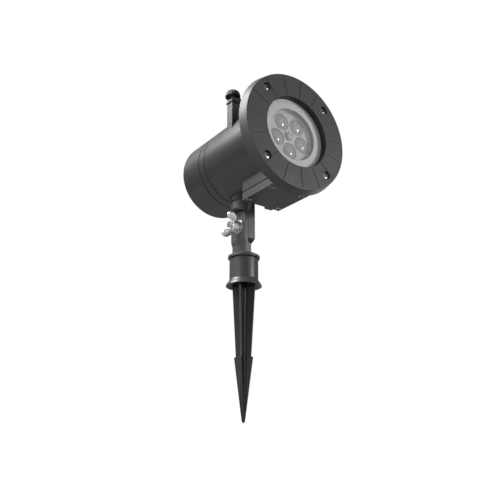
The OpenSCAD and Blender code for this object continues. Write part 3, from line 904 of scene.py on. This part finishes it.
FINISHES: dict[str, Finish] = {
    # The bezel's bore is painted black: painted shade on its wall.
    "bezel_plastic": PaintedBoreShade("satin charcoal bezel plastic with painted bore shade", (0.036, 0.0345, 0.0355), 0.50),
    "housing_plastic": Moulded("satin charcoal housing plastic", (0.026, 0.0252, 0.026), 0.38, bump=0.25),
    "cap_plastic": Moulded("satin charcoal cap plastic", (0.026, 0.0252, 0.026), 0.38, bump=0.25),
    "cover_plastic": Moulded("satin charcoal cover plastic", (0.028, 0.0272, 0.028), 0.44),
    # Painted light: the knuckle and the collar are the housing's charcoal plastic, painted lighter where the
    # lamps light them too little.
    "knuckle_plastic": Moulded("satin charcoal knuckle plastic with painted light", (0.060, 0.058, 0.059), 0.42, edge=0.0004),
    "collar_plastic": Moulded("satin charcoal collar plastic with painted light", (0.050, 0.048, 0.0485), 0.34, bump=0.22),
    "black_moulded": Moulded("black spike plastic", (0.0045, 0.0042, 0.0042), 0.42, grain=1500.0, dust=0.03,
                             polish=(0.03, 0.03, 0.03), specular=0.35),
    "knob_black": Moulded("black knob plastic", (0.005, 0.005, 0.0052), 0.45,
                          polish=(0.04, 0.04, 0.04), dust=0.03),
    "inner_black": Moulded("matt black inner plastic", (0.006, 0.006, 0.006), 0.7, dust=0.0),
    "seal_rubber": Moulded("black seal rubber", (0.014, 0.014, 0.014), 0.75,
                           grain=900.0, wear=0.0, specular=0.3),
    "white_plastic": Moulded("white bracket nylon", (0.70, 0.70, 0.66), 0.45,
                             polish=(0.8, 0.8, 0.78), dust=0.0),
    "gear_plastic": Moulded("ivory gear acetal", (0.78, 0.75, 0.66), 0.38,
                            polish=(0.85, 0.82, 0.74), dust=0.0),
    "wheel_plastic": Moulded("pale wheel plastic", (0.60, 0.595, 0.585), 0.32, grain=900.0, bump=0.15,
                             spread=0.05, polish=(0.6, 0.6, 0.6), dust=0.0, coat=0.3),
    "slide_plastic": Moulded("grey slide plastic", (0.09, 0.09, 0.095), 0.5, dust=0.0),
    "component_mix": Moulded("varnished component", (0.42, 0.30, 0.06), 0.35,
                             grain=500.0, spread=0.4, dust=0.0),
    "led_yellow": Moulded("yellow light-source gel", (0.85, 0.68, 0.10), 0.25, grain=3000.0, spread=0.06,
                          polish=(0.9, 0.75, 0.2), dust=0.0, coat=0.6),
    "bright_steel": Metal("bright zinc steel", (0.72, 0.72, 0.74), 0.28),
    "chrome_nut": Metal("bright nickel nut", (0.96, 0.96, 0.96), 0.34, cover=0.08),
    "zinc_screw": Metal("zinc screw", (0.62, 0.62, 0.63), 0.34),
    "face_screw": Metal("blackened steel screw", (0.30, 0.30, 0.30), 0.28,
                        cover=0.4, tarnish=(0.04, 0.04, 0.04)),
    "motor_metal": Metal("motor can steel", (0.66, 0.64, 0.58), 0.36, cover=0.25),
    "sink_aluminium": Metal("extruded aluminium", (0.78, 0.79, 0.80), 0.42, fineness=420.0),
    "window_clear": RimmedWindow("window acrylic", (0.58, 0.572, 0.56), 0.42),
    "lens_clear": Glazed("lens acrylic", (0.66, 0.67, 0.66), 0.05, transmission=0.4),
    "board_white": Board("white light-source board", (0.80, 0.80, 0.77), 0.4, track=(0.70, 0.70, 0.68)),
    "board_green": Board("green driver board", (0.02, 0.14, 0.05), 0.35),
    "film_print": PrintedFilm("printed film", (0.02, 0.03, 0.08), 0.15),
}


# ---------------------------------------------------------------------------
# Sub-assemblies
# ---------------------------------------------------------------------------


def dress(nodes: list[str]) -> None:
    """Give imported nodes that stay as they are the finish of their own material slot.

    Args:
        nodes: The nodes' names.
    """
    slots = {part["node"]: part["material_slot"] for part in frame["record"]["subparts"]}
    for name in nodes:
        node = frame["nodes"][name]
        node.material_slots[0].material = FINISHES[slots[name]].material()
        log.info("%s: packed shape, %s", name, FINISHES[slots[name]].title)


@dataclass(frozen=True)
class CrossScrew:
    """Pan-head screw with a cross recess; its crown is at 0 and its shank runs towards +z."""

    head_r: float
    head_h: float
    shank_r: float
    shank_l: float
    turn: float = 20.0
    crown: float = 0.45
    arm_w: float = 0.46
    recess: float = 1.3
    sectors: int = 72

    def shell(self) -> Shell:
        """Turned profile whose crown sinks where the cross is.

        The crown lies at crown times the square of r over the head's radius. The recess is the larger of two
        bars' masks, each falling off over 0.12 mm at the bar's sides and end.

        Returns:
            The screw about its own z axis.
        """
        inner = np.linspace(0.04, self.head_r - 0.5, 26)
        crown = np.stack([inner, self.crown * (inner / self.head_r) ** 2], axis=1)
        low = self.head_h
        rest = softened(
            [(inner[-1] - 0.2, crown[-1, 1] - 0.05), (self.head_r, crown[-1, 1] + 0.1), (self.head_r, low),
             (self.shank_r, low), (self.shank_r, low + self.shank_l - 1.0), (0.3, low + self.shank_l)],
            0.35, closed=False)[1:]
        profile = np.concatenate([crown, rest])
        radius, height = profile.T
        angle = np.linspace(0.0, 2 * np.pi, self.sectors, endpoint=False)
        x, y = np.outer(radius, np.cos(angle)), np.outer(radius, np.sin(angle))
        reach = 0.62 * self.head_r
        bars = [
            (1 - smooth_step(self.arm_w - 0.06, self.arm_w + 0.06, np.abs(across)))
            * (1 - smooth_step(reach - 0.06, reach + 0.06, np.abs(along)))
            for along, across in ((x, y), (y, x))
        ]
        sink = self.recess * np.maximum(*bars) * (np.arange(len(radius)) < len(inner))[:, None]
        grid = np.stack([x, y, height[:, None] + sink], axis=-1)
        return Shell.from_grid(grid).turned(self.turn)


@dataclass
class GroundStake:
    """The spike with four fins and the collar that its plug closes."""

    fin_turn: float = 35.0
    fin_thickness: float = 2.5
    fin_tip: float = 0.35
    fin_top: float = 3.0
    barb_z: float = -58.0
    core_top: float = 3.0
    core_low: float = 1.3
    plug_r: float = 10.3
    plug_low: float = 2.0
    plug_top: float = 5.0
    tenon_top: float = 9.4
    tenon_r: float = 8.9
    tube_r: float = 12.1
    rows: int = 90

    def build(self) -> None:
        """Make both pieces."""
        self.spike().piece("ground_spike_body", Body.STAKE, ["ground_spike"], "black_moulded", 50.0)
        self.collar().piece("collar_with_skirt", Body.STAKE, ["spike_collar"], "collar_plastic")

    def spike(self) -> Shell:
        """Rounded four-armed cross whose reach follows the height.

        At each height the outline is the twelve corners of a cross: two at each fin's edge and one between
        neighbouring fins, rounded, and scaled to the fin's half width there.

        Returns:
            The spike, its plug and its tenon.
        """
        tip = box_mm("ground_spike")[0][2]
        top, barb = self.fin_top, self.barb_z
        stations = np.array([tip, tip + 1.5, barb - 0.8, barb - 0.55, barb - 0.1, barb, top])
        reaches = np.array([0.15, 1.2, 7.9, 7.9, 6.6, 6.4, 10.0])
        height = np.unique(np.concatenate([stations, np.linspace(tip, top, self.rows)]))
        reach = np.interp(height, stations, reaches)
        half = np.minimum(np.full_like(height, self.fin_thickness / 2), reach * 0.72)
        root = np.minimum(np.interp(height, [tip, top], [self.core_low, self.core_top]) * 0.75, reach * 0.9)
        root = np.maximum(root, half * 1.02)
        edge = half * 0.8
        quarter = np.stack(
            [np.stack([reach, -edge], -1), np.stack([reach, edge], -1), np.stack([root, root], -1)], axis=1)
        turns = np.array([[[1, 0], [0, 1]], [[0, 1], [-1, 0]], [[-1, 0], [0, -1]], [[0, -1], [1, 0]]], float)
        outline = np.concatenate([quarter @ turn for turn in turns], axis=1)
        outline = softened(outline, np.tile([self.fin_tip, self.fin_tip, 0.9], 4))
        level = np.broadcast_to(height[:, None], outline.shape[:2])
        fins = Shell.from_grid(np.concatenate([outline, level[..., None]], axis=-1))
        middle = 0.4
        corners = [(middle, self.plug_low), (self.plug_r, self.plug_low), (self.plug_r, self.plug_top),
                   (self.tenon_r, self.plug_top), (self.tenon_r, self.tenon_top), (middle, self.tenon_top)]
        plug = turned_shell(softened(corners, 0.3, closed=False))
        return Shell.joined([fins, plug]).turned(self.fin_turn).placed(Axis.UP, (0, 0, 0))

    def collar(self) -> Shell:
        """Turned ring: straight tube, rounded top edge and a flared skirt with a thin lip.

        Returns:
            The collar in the part's frame.
        """
        lip, _, top = box_mm("spike_collar")[1]
        tube, bore = self.tube_r, self.tenon_r + 0.15
        corners = [(bore, top), (bore, 6.0), (10.45, 5.4), (10.45, 3.2), (lip - 1.2, 0.0), (lip, 0.0),
                   (lip - 0.7, 1.6), (tube + 0.5, 4.4), (tube, 5.4), (tube, top - 0.6), (tube - 0.6, top)]
        reach = [0.3, 0.2, 0.2, 0.2, 0.4, 0.5, 1.2, 1.0, 1.0, 0.4, 0.4]
        return turned_shell(softened(corners, reach, 6), 160, loop=True).placed(Axis.UP, (0, 0, 0))


@dataclass
class Knuckle:
    """Stem, arm, tilt bolt, washer and wing nut of the lap joint."""

    bolt_r: float = 3.0
    bolt_head_h: float = 3.3
    pitch: float = 1.0
    thread: float = 0.45
    hub_low_r: float = 5.2
    hub_top_r: float = 4.0
    hub_h: float = 6.6
    nut_turn: float = -30.0
    wing_t: float = 2.2

    def build(self) -> None:
        """Make the turned and cast metal pieces, and dress the two mouldings."""
        dress(["stem", "pivot_arm"])
        self.bolt().piece("tilt_bolt_threaded", Body.STEM, ["tilt_bolt"], "bright_steel")
        self.washer().piece("plain_washer", Body.STEM, ["bolt_washer"], "bright_steel")
        self.wing_nut().piece("cast_wing_nut", Body.WING_NUT, ["wing_nut"], "chrome_nut", 50.0)

    def bolt(self) -> Shell:
        """Threaded rod along the bolt's axis, and a domed head with a rounded rim beyond the arm.

        Returns:
            The bolt in the part's frame.
        """
        low, high = box_mm("tilt_bolt")
        height = (low[2] + high[2]) / 2
        head_r, head_h = (high[2] - low[2]) / 2, self.bolt_head_h
        rod = threaded_rod(self.bolt_r, high[0] - head_h - low[0], self.pitch, self.thread)
        neck_r = self.bolt_r - 0.5
        corners = [(0.2, head_h), (2.6, head_h - 0.2), (4.8, head_h - 1.3), (head_r, 0.9), (head_r, 0.0),
                   (neck_r, 0.0), (neck_r, -1.5), (0.2, -1.5)]
        head = turned_shell(softened(corners, 0.7, closed=False), 72)
        head = head.placed(Axis.BOLT_HEAD, (high[0] - head_h, 0, height))
        return Shell.joined([rod.placed(Axis.BOLT_HEAD, (low[0], 0, height)), head])

    def washer(self) -> Shell:
        """Turned ring with soft edges.

        Returns:
            The washer in the part's frame.
        """
        low, high = box_mm("bolt_washer")
        radius, thick = (high[2] - low[2]) / 2, high[0] - low[0]
        corners = [(self.bolt_r + 0.1, 0.0), (radius, 0.0), (radius, thick), (self.bolt_r + 0.1, thick)]
        shell = turned_shell(softened(corners, 0.18), 72, loop=True)
        return shell.placed(Axis.BOLT_HEAD, (low[0], 0, (low[2] + high[2]) / 2))

    def wing_nut(self) -> Shell:
        """Conical hub with two pillow-edged wings that rise outwards.

        Returns:
            The nut in the part's frame.
        """
        low, high = box_mm("wing_nut")
        bore = self.bolt_r + 0.15
        corners = [(bore, 0.0), (self.hub_low_r, 0.0), (self.hub_low_r, 1.0), (self.hub_top_r, self.hub_h),
                   (bore, self.hub_h)]
        hub = turned_shell(softened(corners, [0.3, 0.4, 0.9, 0.9, 0.3], 6), 96, loop=True)
        outline = softened(
            [(2.8, 0.7), (4.8, 1.4), (7.9, 4.1), (10.6, 7.0), (11.3, 10.6), (9.4, 13.6), (6.4, 13.3),
             (4.6, 10.2), (2.8, 6.2)],
            [0.4, 1.6, 2.0, 2.0, 2.0, 2.0, 2.0, 2.0, 0.4], 6)
        wing = pillow_plate(outline, self.wing_t, 0.9, 11)
        nut = Shell.joined([hub, wing, wing.turned(180)]).turned(self.nut_turn)
        return nut.placed(Axis.BOLT_NUT, (high[0], 0, (low[2] + high[2]) / 2))


@dataclass
class FrontRing:
    """The bezel with its engraved spokes and screw wells, its four screws and the window behind it."""

    inner_r: float = 30.5
    chamfer: float = 0.7
    seat: float = 5.6
    lip_w: float = 3.3
    spoke_mid: float = 45.0
    spoke_start: float = 16.5
    spoke_step: float = 22.8
    spoke_in: float = 1.4
    spoke_half: float = 0.22
    spoke_depth: float = 0.4
    well_r: float = 3.5
    well_depth: float = 3.2
    well_circle: float = 42.6
    well_angles: tuple[float, ...] = (45.0, 135.0, 225.0, 315.0)
    screw: CrossScrew = field(default_factory=lambda: CrossScrew(2.8, 2.2, 1.45, 4.8))

    def build(self) -> None:
        """Make the ring, its screws and the window."""
        low, high = box_mm("bezel")
        self.origin = (0.0, low[1], (low[2] + high[2]) / 2)
        self.depth = high[1] - low[1]
        self.back_r = high[0]
        self.front_r = self.back_r - 1.9
        self.ring().piece("engraved_bezel", Body.HEAD, ["bezel"], "bezel_plastic")
        self.screws().piece("bezel_cross_screws", Body.HEAD, ["bezel_screws"], "face_screw")
        self.window().piece("rimmed_window", Body.HEAD, ["front_window"], "window_clear")
        dress(["window_gasket"])

    def spokes(self) -> np.ndarray:
        """Angles in degrees of the engraved lines, on either side of the middle one.

        Returns:
            The angles, first those after the middle one and then those before it.
        """
        plus = self.spoke_mid + self.spoke_start + self.spoke_step * np.arange(7)
        minus = self.spoke_mid - self.spoke_start - self.spoke_step * np.arange(8)
        return np.concatenate([plus, minus])

    def columns(self) -> tuple[np.ndarray, np.ndarray]:
        """Columns of the ring's grid: an angle, and an offset across it in millimetres.

        Plain columns stand every half degree, apart from close to a spoke, where seven columns cross it.

        Returns:
            Angles in degrees and offsets, in order round the ring.
        """
        plain = np.arange(0.0, 360.0, 0.5)
        spokes = self.spokes() % 360.0
        away = np.abs((plain[:, None] - spokes[None] + 180.0) % 360.0 - 180.0).min(axis=1)
        plain = plain[away > 0.85]
        offsets = np.array([-1.9, -1.15, -0.75, 0.0, 0.75, 1.15, 1.9]) * self.spoke_half
        angles = np.concatenate([plain, np.repeat(spokes, len(offsets))])
        across = np.concatenate([np.zeros(len(plain)), np.tile(offsets, len(spokes))])
        order = np.argsort((angles + np.degrees(across / 42.0)) % 360.0)
        return angles[order], across[order]

    def ring(self) -> Shell:
        """Closed profile carried round, then engraved and sunk.

        A point at radius r in a column stands at the column's angle plus its offset over r, so a spoke keeps
        its width. On the face, a spoke lowers its columns by a rounded trough. Points near a well's rim move
        onto it, those just inside stand at the wall's foot, and those within lie on its floor.

        Returns:
            The ring in the part's frame.
        """
        face = np.unique(np.concatenate([np.arange(31.4, 49.1, 0.6), np.arange(38.8, 46.6, 0.3)]))
        lip = self.back_r - self.lip_w
        corners = [(49.05, 0.0), (self.front_r, 0.0), (self.back_r, self.depth), (lip, self.depth),
                   (lip, self.seat), (self.inner_r, self.seat), (self.inner_r, 0.0), (31.35, 0.0)]
        around = softened(corners, [0, 0.8, 0.5, 0.3, 0.1, 0.3, self.chamfer, 0], 6, closed=False)
        profile = np.concatenate([np.stack([face, 0 * face], 1), around])
        on_face = (np.arange(len(profile)) < len(face))[:, None]
        angles, across = self.columns()
        radius, depth = profile[:, :1], profile[:, 1:]
        turn = np.radians(angles)[None] + across[None] / radius
        x, y = radius * np.cos(turn), -radius * np.sin(turn)
        along = smooth_step(self.inner_r + self.spoke_in - 0.3, self.inner_r + self.spoke_in + 0.3, radius)
        along = along * (1 - smooth_step(self.front_r - 1.7, self.front_r - 1.1, radius))
        near = np.abs(((angles[:, None] - self.spokes()[None]) + 180.0) % 360.0 - 180.0).min(axis=1) < 1e-6
        trough = near * (1 - smooth_step(0.7 * self.spoke_half, 1.3 * self.spoke_half, np.abs(across)))
        sink = depth + on_face * along * trough[None] * self.spoke_depth
        for centre in polar_positions(np.array(self.well_angles), self.well_circle):
            dx, dy = x - centre[0], y - centre[1]
            away = np.hypot(dx, dy)
            rim = on_face & (np.abs(away - self.well_r) < 0.2)
            foot = on_face & (away <= self.well_r - 0.2) & (away > self.well_r - 0.55)
            goal = np.where(rim, self.well_r, np.where(foot, self.well_r - 0.08, away))
            x, y = centre[0] + dx * goal / away, centre[1] + dy * goal / away
            sink = np.where(on_face & (away <= self.well_r - 0.2), self.well_depth, np.where(rim, 0.0, sink))
        return Shell.from_grid(np.stack([x, y, sink], axis=-1), loop=True).placed(Axis.REAR, self.origin)

    def screws(self) -> Shell:
        """The four screws, their crowns a little below the bezel's face.

        Returns:
            The screws in the part's frame.
        """
        low, _ = box_mm("bezel_screws")
        one = self.screw.shell()
        places = polar_positions(np.array(self.well_angles), self.well_circle)
        heads = [one.turned(37 * number).moved((x, y, 0)) for number, (x, y) in enumerate(places)]
        return Shell.joined(heads).placed(Axis.REAR, (0, low[1], self.origin[2]))

    def window(self) -> Shell:
        """Turned disc with a shallow round recess in its front.

        Returns:
            The window in the part's frame.
        """
        low, high = box_mm("front_window")
        thick, radius = high[1] - low[1], high[0]
        corners = [(0.3, 0.5), (21.9, 0.5), (22.7, 0.0), (radius, 0.0), (radius, thick), (0.3, thick)]
        profile = softened(corners, [0, 0.4, 0.4, 0.3, 0.3, 0], 6, closed=False)
        return turned_shell(profile, 144).placed(Axis.REAR, (0, low[1], self.origin[2]))


@dataclass
class LensWheel:
    """The turning wheel of lenses, its cap, its carrier and what drives it."""

    lens_count: int = 5
    lens_circle: float = 13.4
    lens_r: float = 7.15
    dome: float = 2.2

    def build(self) -> None:
        """Make the lenses, and dress the rest."""
        self.lenses().piece("domed_lenses", Body.LENS_WHEEL, ["wheel_lenses"], "lens_clear", 50.0)
        dress(["lens_wheel", "wheel_cap", "wheel_axle", "wheel_spider", "motor_pinion", "gear_motor",
               "motor_bracket"])

    def lenses(self) -> Shell:
        """Plano-convex lenses: the front rises as 1 minus the square of r over the lens radius.

        Returns:
            The lenses in the part's frame.
        """
        low, high = box_mm("wheel_lenses")
        centre_z = sum(box_mm("lens_wheel")[side][2] for side in (0, 1)) / 2
        share = np.linspace(0.02, 0.97, 18)
        front = np.stack([share * self.lens_r, self.dome * share**2], axis=1)
        back = high[1] - low[1]
        edge = [(front[-1, 0], front[-1, 1]), (self.lens_r, self.dome), (self.lens_r, back), (0.2, back)]
        rest = softened(edge, 0.25, closed=False)[1:]
        one = turned_shell(np.concatenate([front, rest]), 64)
        angles = 90.0 + np.arange(self.lens_count) * 360.0 / self.lens_count
        places = polar_positions(angles, self.lens_circle)
        shells = [one.moved((x, y, 0)) for x, y in places]
        return Shell.joined(shells).placed(Axis.REAR, (0, low[1], centre_z))


@dataclass
class Housing:
    """Barrel, motor compartment, rear cap and everything inside them."""

    cover_screw: CrossScrew = field(default_factory=lambda: CrossScrew(2.6, 2.0, 1.15, 11.8))
    cap_screw: CrossScrew = field(default_factory=lambda: CrossScrew(2.7, 1.4, 1.45, 8.9, recess=0.8))
    cap_screw_circle: float = 24.0
    cap_screw_angles: tuple[float, ...] = (90.0, 210.0, 330.0)

    def build(self) -> None:
        """Make the screws that show, and dress the mouldings and the inner pieces."""
        self.cover_screws().piece("compartment_cross_screws", Body.HEAD, ["motor_cover_screws"], "face_screw")
        self.cap_screws().piece("cap_cross_screws", Body.HEAD, ["rear_cap_screws"], "face_screw")
        dress(["main_housing", "motor_cover", "motor_cover_gasket", "seam_ring", "seal_rings", "rear_cap",
               "cable_gland", "gland_nut", "arm_screws"])
        dress(["slide_guide", "condenser_holder", "condenser_lens", "collimator_lens", "led_board", "leds",
               "heat_sink", "board_screws", "driver_board", "driver_parts"])

    def cover_screws(self) -> Shell:
        """Four screws up into the compartment, in the corners of their node's box.

        Returns:
            The screws in the part's frame.
        """
        low, high = box_mm("motor_cover_screws")
        inset = self.cover_screw.head_r
        one = self.cover_screw.shell()
        across = (low[0] + inset, high[0] - inset)
        along = (low[1] + inset, high[1] - inset)
        places = [(x, y) for x in across for y in along]
        heads = [one.turned(31 * number).moved((x, y, low[2])) for number, (x, y) in enumerate(places)]
        return Shell.joined(heads).placed(Axis.UP, (0, 0, 0))

    def cap_screws(self) -> Shell:
        """Three screws into the rear cap, on a circle about the optical axis.

        Returns:
            The screws in the part's frame.
        """
        _, high = box_mm("rear_cap_screws")
        centre_z = sum(box_mm("rear_cap")[side][2] for side in (0, 1)) / 2
        one = self.cap_screw.shell()
        places = polar_positions(np.array(self.cap_screw_angles), self.cap_screw_circle)
        heads = [one.turned(53 * number).moved((x, y, 0)) for number, (x, y) in enumerate(places)]
        return Shell.joined(heads).placed(Axis.FRONT, (0, high[1], centre_z))


@dataclass
class SlideTower:
    """Slide cover with its slide, and the two thumb screws that hold it."""

    cap_h: float = 6.0
    shank_r: float = 1.48
    flutes: int = 20
    flute_depth: float = 0.42

    def build(self) -> None:
        """Make both thumb screws, and dress the cover and the slide."""
        dress(["slide_cover", "cover_gasket", "slide_frame", "pattern_film"])
        for side, body in (("left", Body.LEFT_SCREW), ("right", Body.RIGHT_SCREW)):
            node = side + "_thumb_screw"
            self.thumb_screw(node).piece(side + "_fluted_thumb_screw", body, [node], "knob_black")

    def thumb_screw(self, node: str) -> Shell:
        """Conical cap with rounded flutes, over a threaded shank.

        The cap's radius is the profile's less the flute depth times the fourth power of the cosine of half
        the flute angle, above the smooth collar at its foot.

        Args:
            node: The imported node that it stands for.

        Returns:
            The thumb screw.
        """
        low, high = box_mm(node)
        radius = (high[0] - low[0]) / 2
        corners = [(0.3, 0.0), (radius - 0.6, 0.0), (radius, 0.8), (radius, 2.0), (radius - 0.9, 5.0),
                   (radius - 1.9, self.cap_h - 0.1), (radius - 2.6, self.cap_h),
                   (radius - 3.0, self.cap_h - 0.5), (0.3, self.cap_h - 0.5)]
        profile = softened(corners, [0, 0.4, 0.5, 0.8, 0.6, 0.5, 0.3, 0.3, 0], 7, closed=False)
        reach, height = profile.T
        angle = np.linspace(0.0, 2 * np.pi, self.flutes * 12, endpoint=False)
        outer = (reach > radius - 2.2)[:, None] * smooth_step(0.9, 1.6, height)[:, None]
        cut = self.flute_depth * outer * np.cos(self.flutes * angle / 2)[None] ** 4
        spread = reach[:, None] - cut
        level = height[:, None] + 0 * angle[None]
        grid = np.stack([spread * np.cos(angle), spread * np.sin(angle), level], axis=-1)
        centre = ((low[0] + high[0]) / 2, (low[1] + high[1]) / 2, high[2] - self.cap_h)
        cap = Shell.from_grid(grid).placed(Axis.UP, centre)
        shank_l = high[2] - self.cap_h - low[2]
        shank = threaded_rod(self.shank_r, shank_l + 0.5, 0.6, 0.25, 32)
        shank = shank.placed(Axis.UP, (centre[0], centre[1], low[2]))
        return Shell.joined([cap, shank])


# ---------------------------------------------------------------------------
# Studio and camera
# ---------------------------------------------------------------------------


@dataclass(frozen=True)
class SoftLight:
    """A square area light aimed at the head."""

    title: str
    place: tuple[float, float, float]
    side: float
    watts: float
    tint: Colour = (1.0, 1.0, 1.0)
    aim: tuple[float, float, float] = (0.0, 0.0, 0.08)

    def build(self) -> None:
        """Add the light, facing its aim."""
        data = bpy.data.lights.new(self.title, "AREA")
        data.shape, data.size, data.energy, data.color = "SQUARE", self.side, self.watts, self.tint
        made = bpy.data.objects.new(self.title, data)
        made.location = self.place
        made.rotation_euler = (Vector(self.aim) - Vector(self.place)).to_track_quat("-Z", "Y").to_euler()
        bpy.context.scene.collection.objects.link(made)


@dataclass
class Studio:
    """Pale floor under the spike's tip, a pale surround and soft lights."""

    floor_half: float = 3.0
    surround: float = 0.20
    lights: tuple[SoftLight, ...] = (
        SoftLight("key_upper_left", (-0.60, 0.40, 0.90), 0.55, 21.0),
        SoftLight("fill_front", (0.45, -1.10, 0.55), 0.7, 1.5),
        SoftLight("rim_right", (0.80, 0.25, -0.02), 0.35, 1.2),
        SoftLight("soft_left", (-0.95, -0.25, 0.02), 0.34, 4.0),
        SoftLight("glint_right", (0.60, -0.82, 0.20), 0.20, 4.4),
    )

    def build(self) -> None:
        """Add the floor, the surround and the lights, and keep colours as they are."""
        bpy.context.scene.view_settings.view_transform = "Standard"
        self.floor()
        self.world()
        for light in self.lights:
            light.build()

    def floor(self) -> None:
        """Square floor, seen from above only and soaking up light like a floor that falls away into shade."""
        level = CAD_BOX[0].z - 0.0003
        h = self.floor_half
        mesh = bpy.data.meshes.new("studio_floor")
        mesh.from_pydata([(-h, -h, level), (h, -h, level), (h, h, level), (-h, h, level)], [], [(0, 1, 2, 3)])
        made = bpy.data.materials.new("pale floor paint")
        made.use_nodes = True
        made.node_tree.nodes.clear()
        bench = Bench(made.node_tree)
        direct = bench.node("LightPath").outputs["Is Camera Ray"]
        pale = bench.blend(direct, (0.34, 0.34, 0.34), (0.82, 0.82, 0.81))
        paint = bench.node("BsdfDiffuse", None, {"Color": pale})
        under = bench.node("NewGeometry").outputs["Backfacing"]
        unseen = bench.math("MULTIPLY", under, direct)
        clear = bench.node("BsdfTransparent")
        mix = bench.node("MixShader", None, {0: unseen, 1: paint.outputs[0], 2: clear.outputs[0]})
        bench.node("OutputMaterial", None, {"Surface": mix.outputs[0]})
        mesh.materials.append(made)
        floor = bpy.data.objects.new("studio_floor", mesh)
        bpy.context.scene.collection.objects.link(floor)

    def world(self) -> None:
        """White behind the object, and a softer pale grey for its light."""
        world = bpy.data.worlds.new("pale studio")
        bpy.context.scene.world = world
        world.use_nodes = True
        world.node_tree.nodes.clear()
        bench = Bench(world.node_tree)
        seen = bench.node("Background", None, {"Color": (1.0, 1.0, 1.0, 1.0), "Strength": 1.0})
        lit = bench.node("Background", None, {"Color": (1.0, 1.0, 1.0, 1.0), "Strength": self.surround})
        direct = bench.node("LightPath").outputs["Is Camera Ray"]
        mix = bench.node("MixShader", None, {0: direct, 1: lit.outputs[0], 2: seen.outputs[0]})
        bench.node("OutputWorld", None, {"Surface": mix.outputs[0]})


@dataclass(frozen=True)
class Viewpoint:
    """Low camera on the head's left, looking up at it."""

    azimuth: float = -36.33
    elevation: float = -19.25
    distance: float = 0.5219
    target: tuple[float, float, float] = (-0.0018, -0.0111, 0.0288)
    lens: float = 45.3
    sensor: float = 36.0

    def build(self) -> None:
        """Add the scene's camera."""
        a, e = math.radians(self.azimuth), math.radians(self.elevation)
        back = Vector((math.sin(a) * math.cos(e), -math.cos(a) * math.cos(e), math.sin(e)))
        data = bpy.data.cameras.new("camera")
        data.lens, data.sensor_width = self.lens, self.sensor
        data.clip_start, data.clip_end = 0.01, 50.0
        made = bpy.data.objects.new("camera", data)
        turn = (-back).to_track_quat("-Z", "Y").to_matrix().to_4x4()
        made.matrix_world = Matrix.Translation(Vector(self.target) + back * self.distance) @ turn
        bpy.context.scene.collection.objects.link(made)
        bpy.context.scene.camera = made


def main() -> None:
    """Build the object's sub-assemblies in order from the ground up, then the studio and the camera."""
    logging.basicConfig(level=logging.INFO, format="%(name)s: %(message)s")
    assemblies = (GroundStake(), Knuckle(), Housing(), FrontRing(), LensWheel(), SlideTower())
    for part in (*assemblies, Studio(), Viewpoint()):
        log.info("building %s", type(part).__name__)
        part.build()


if __name__ == "__main__":
    main()
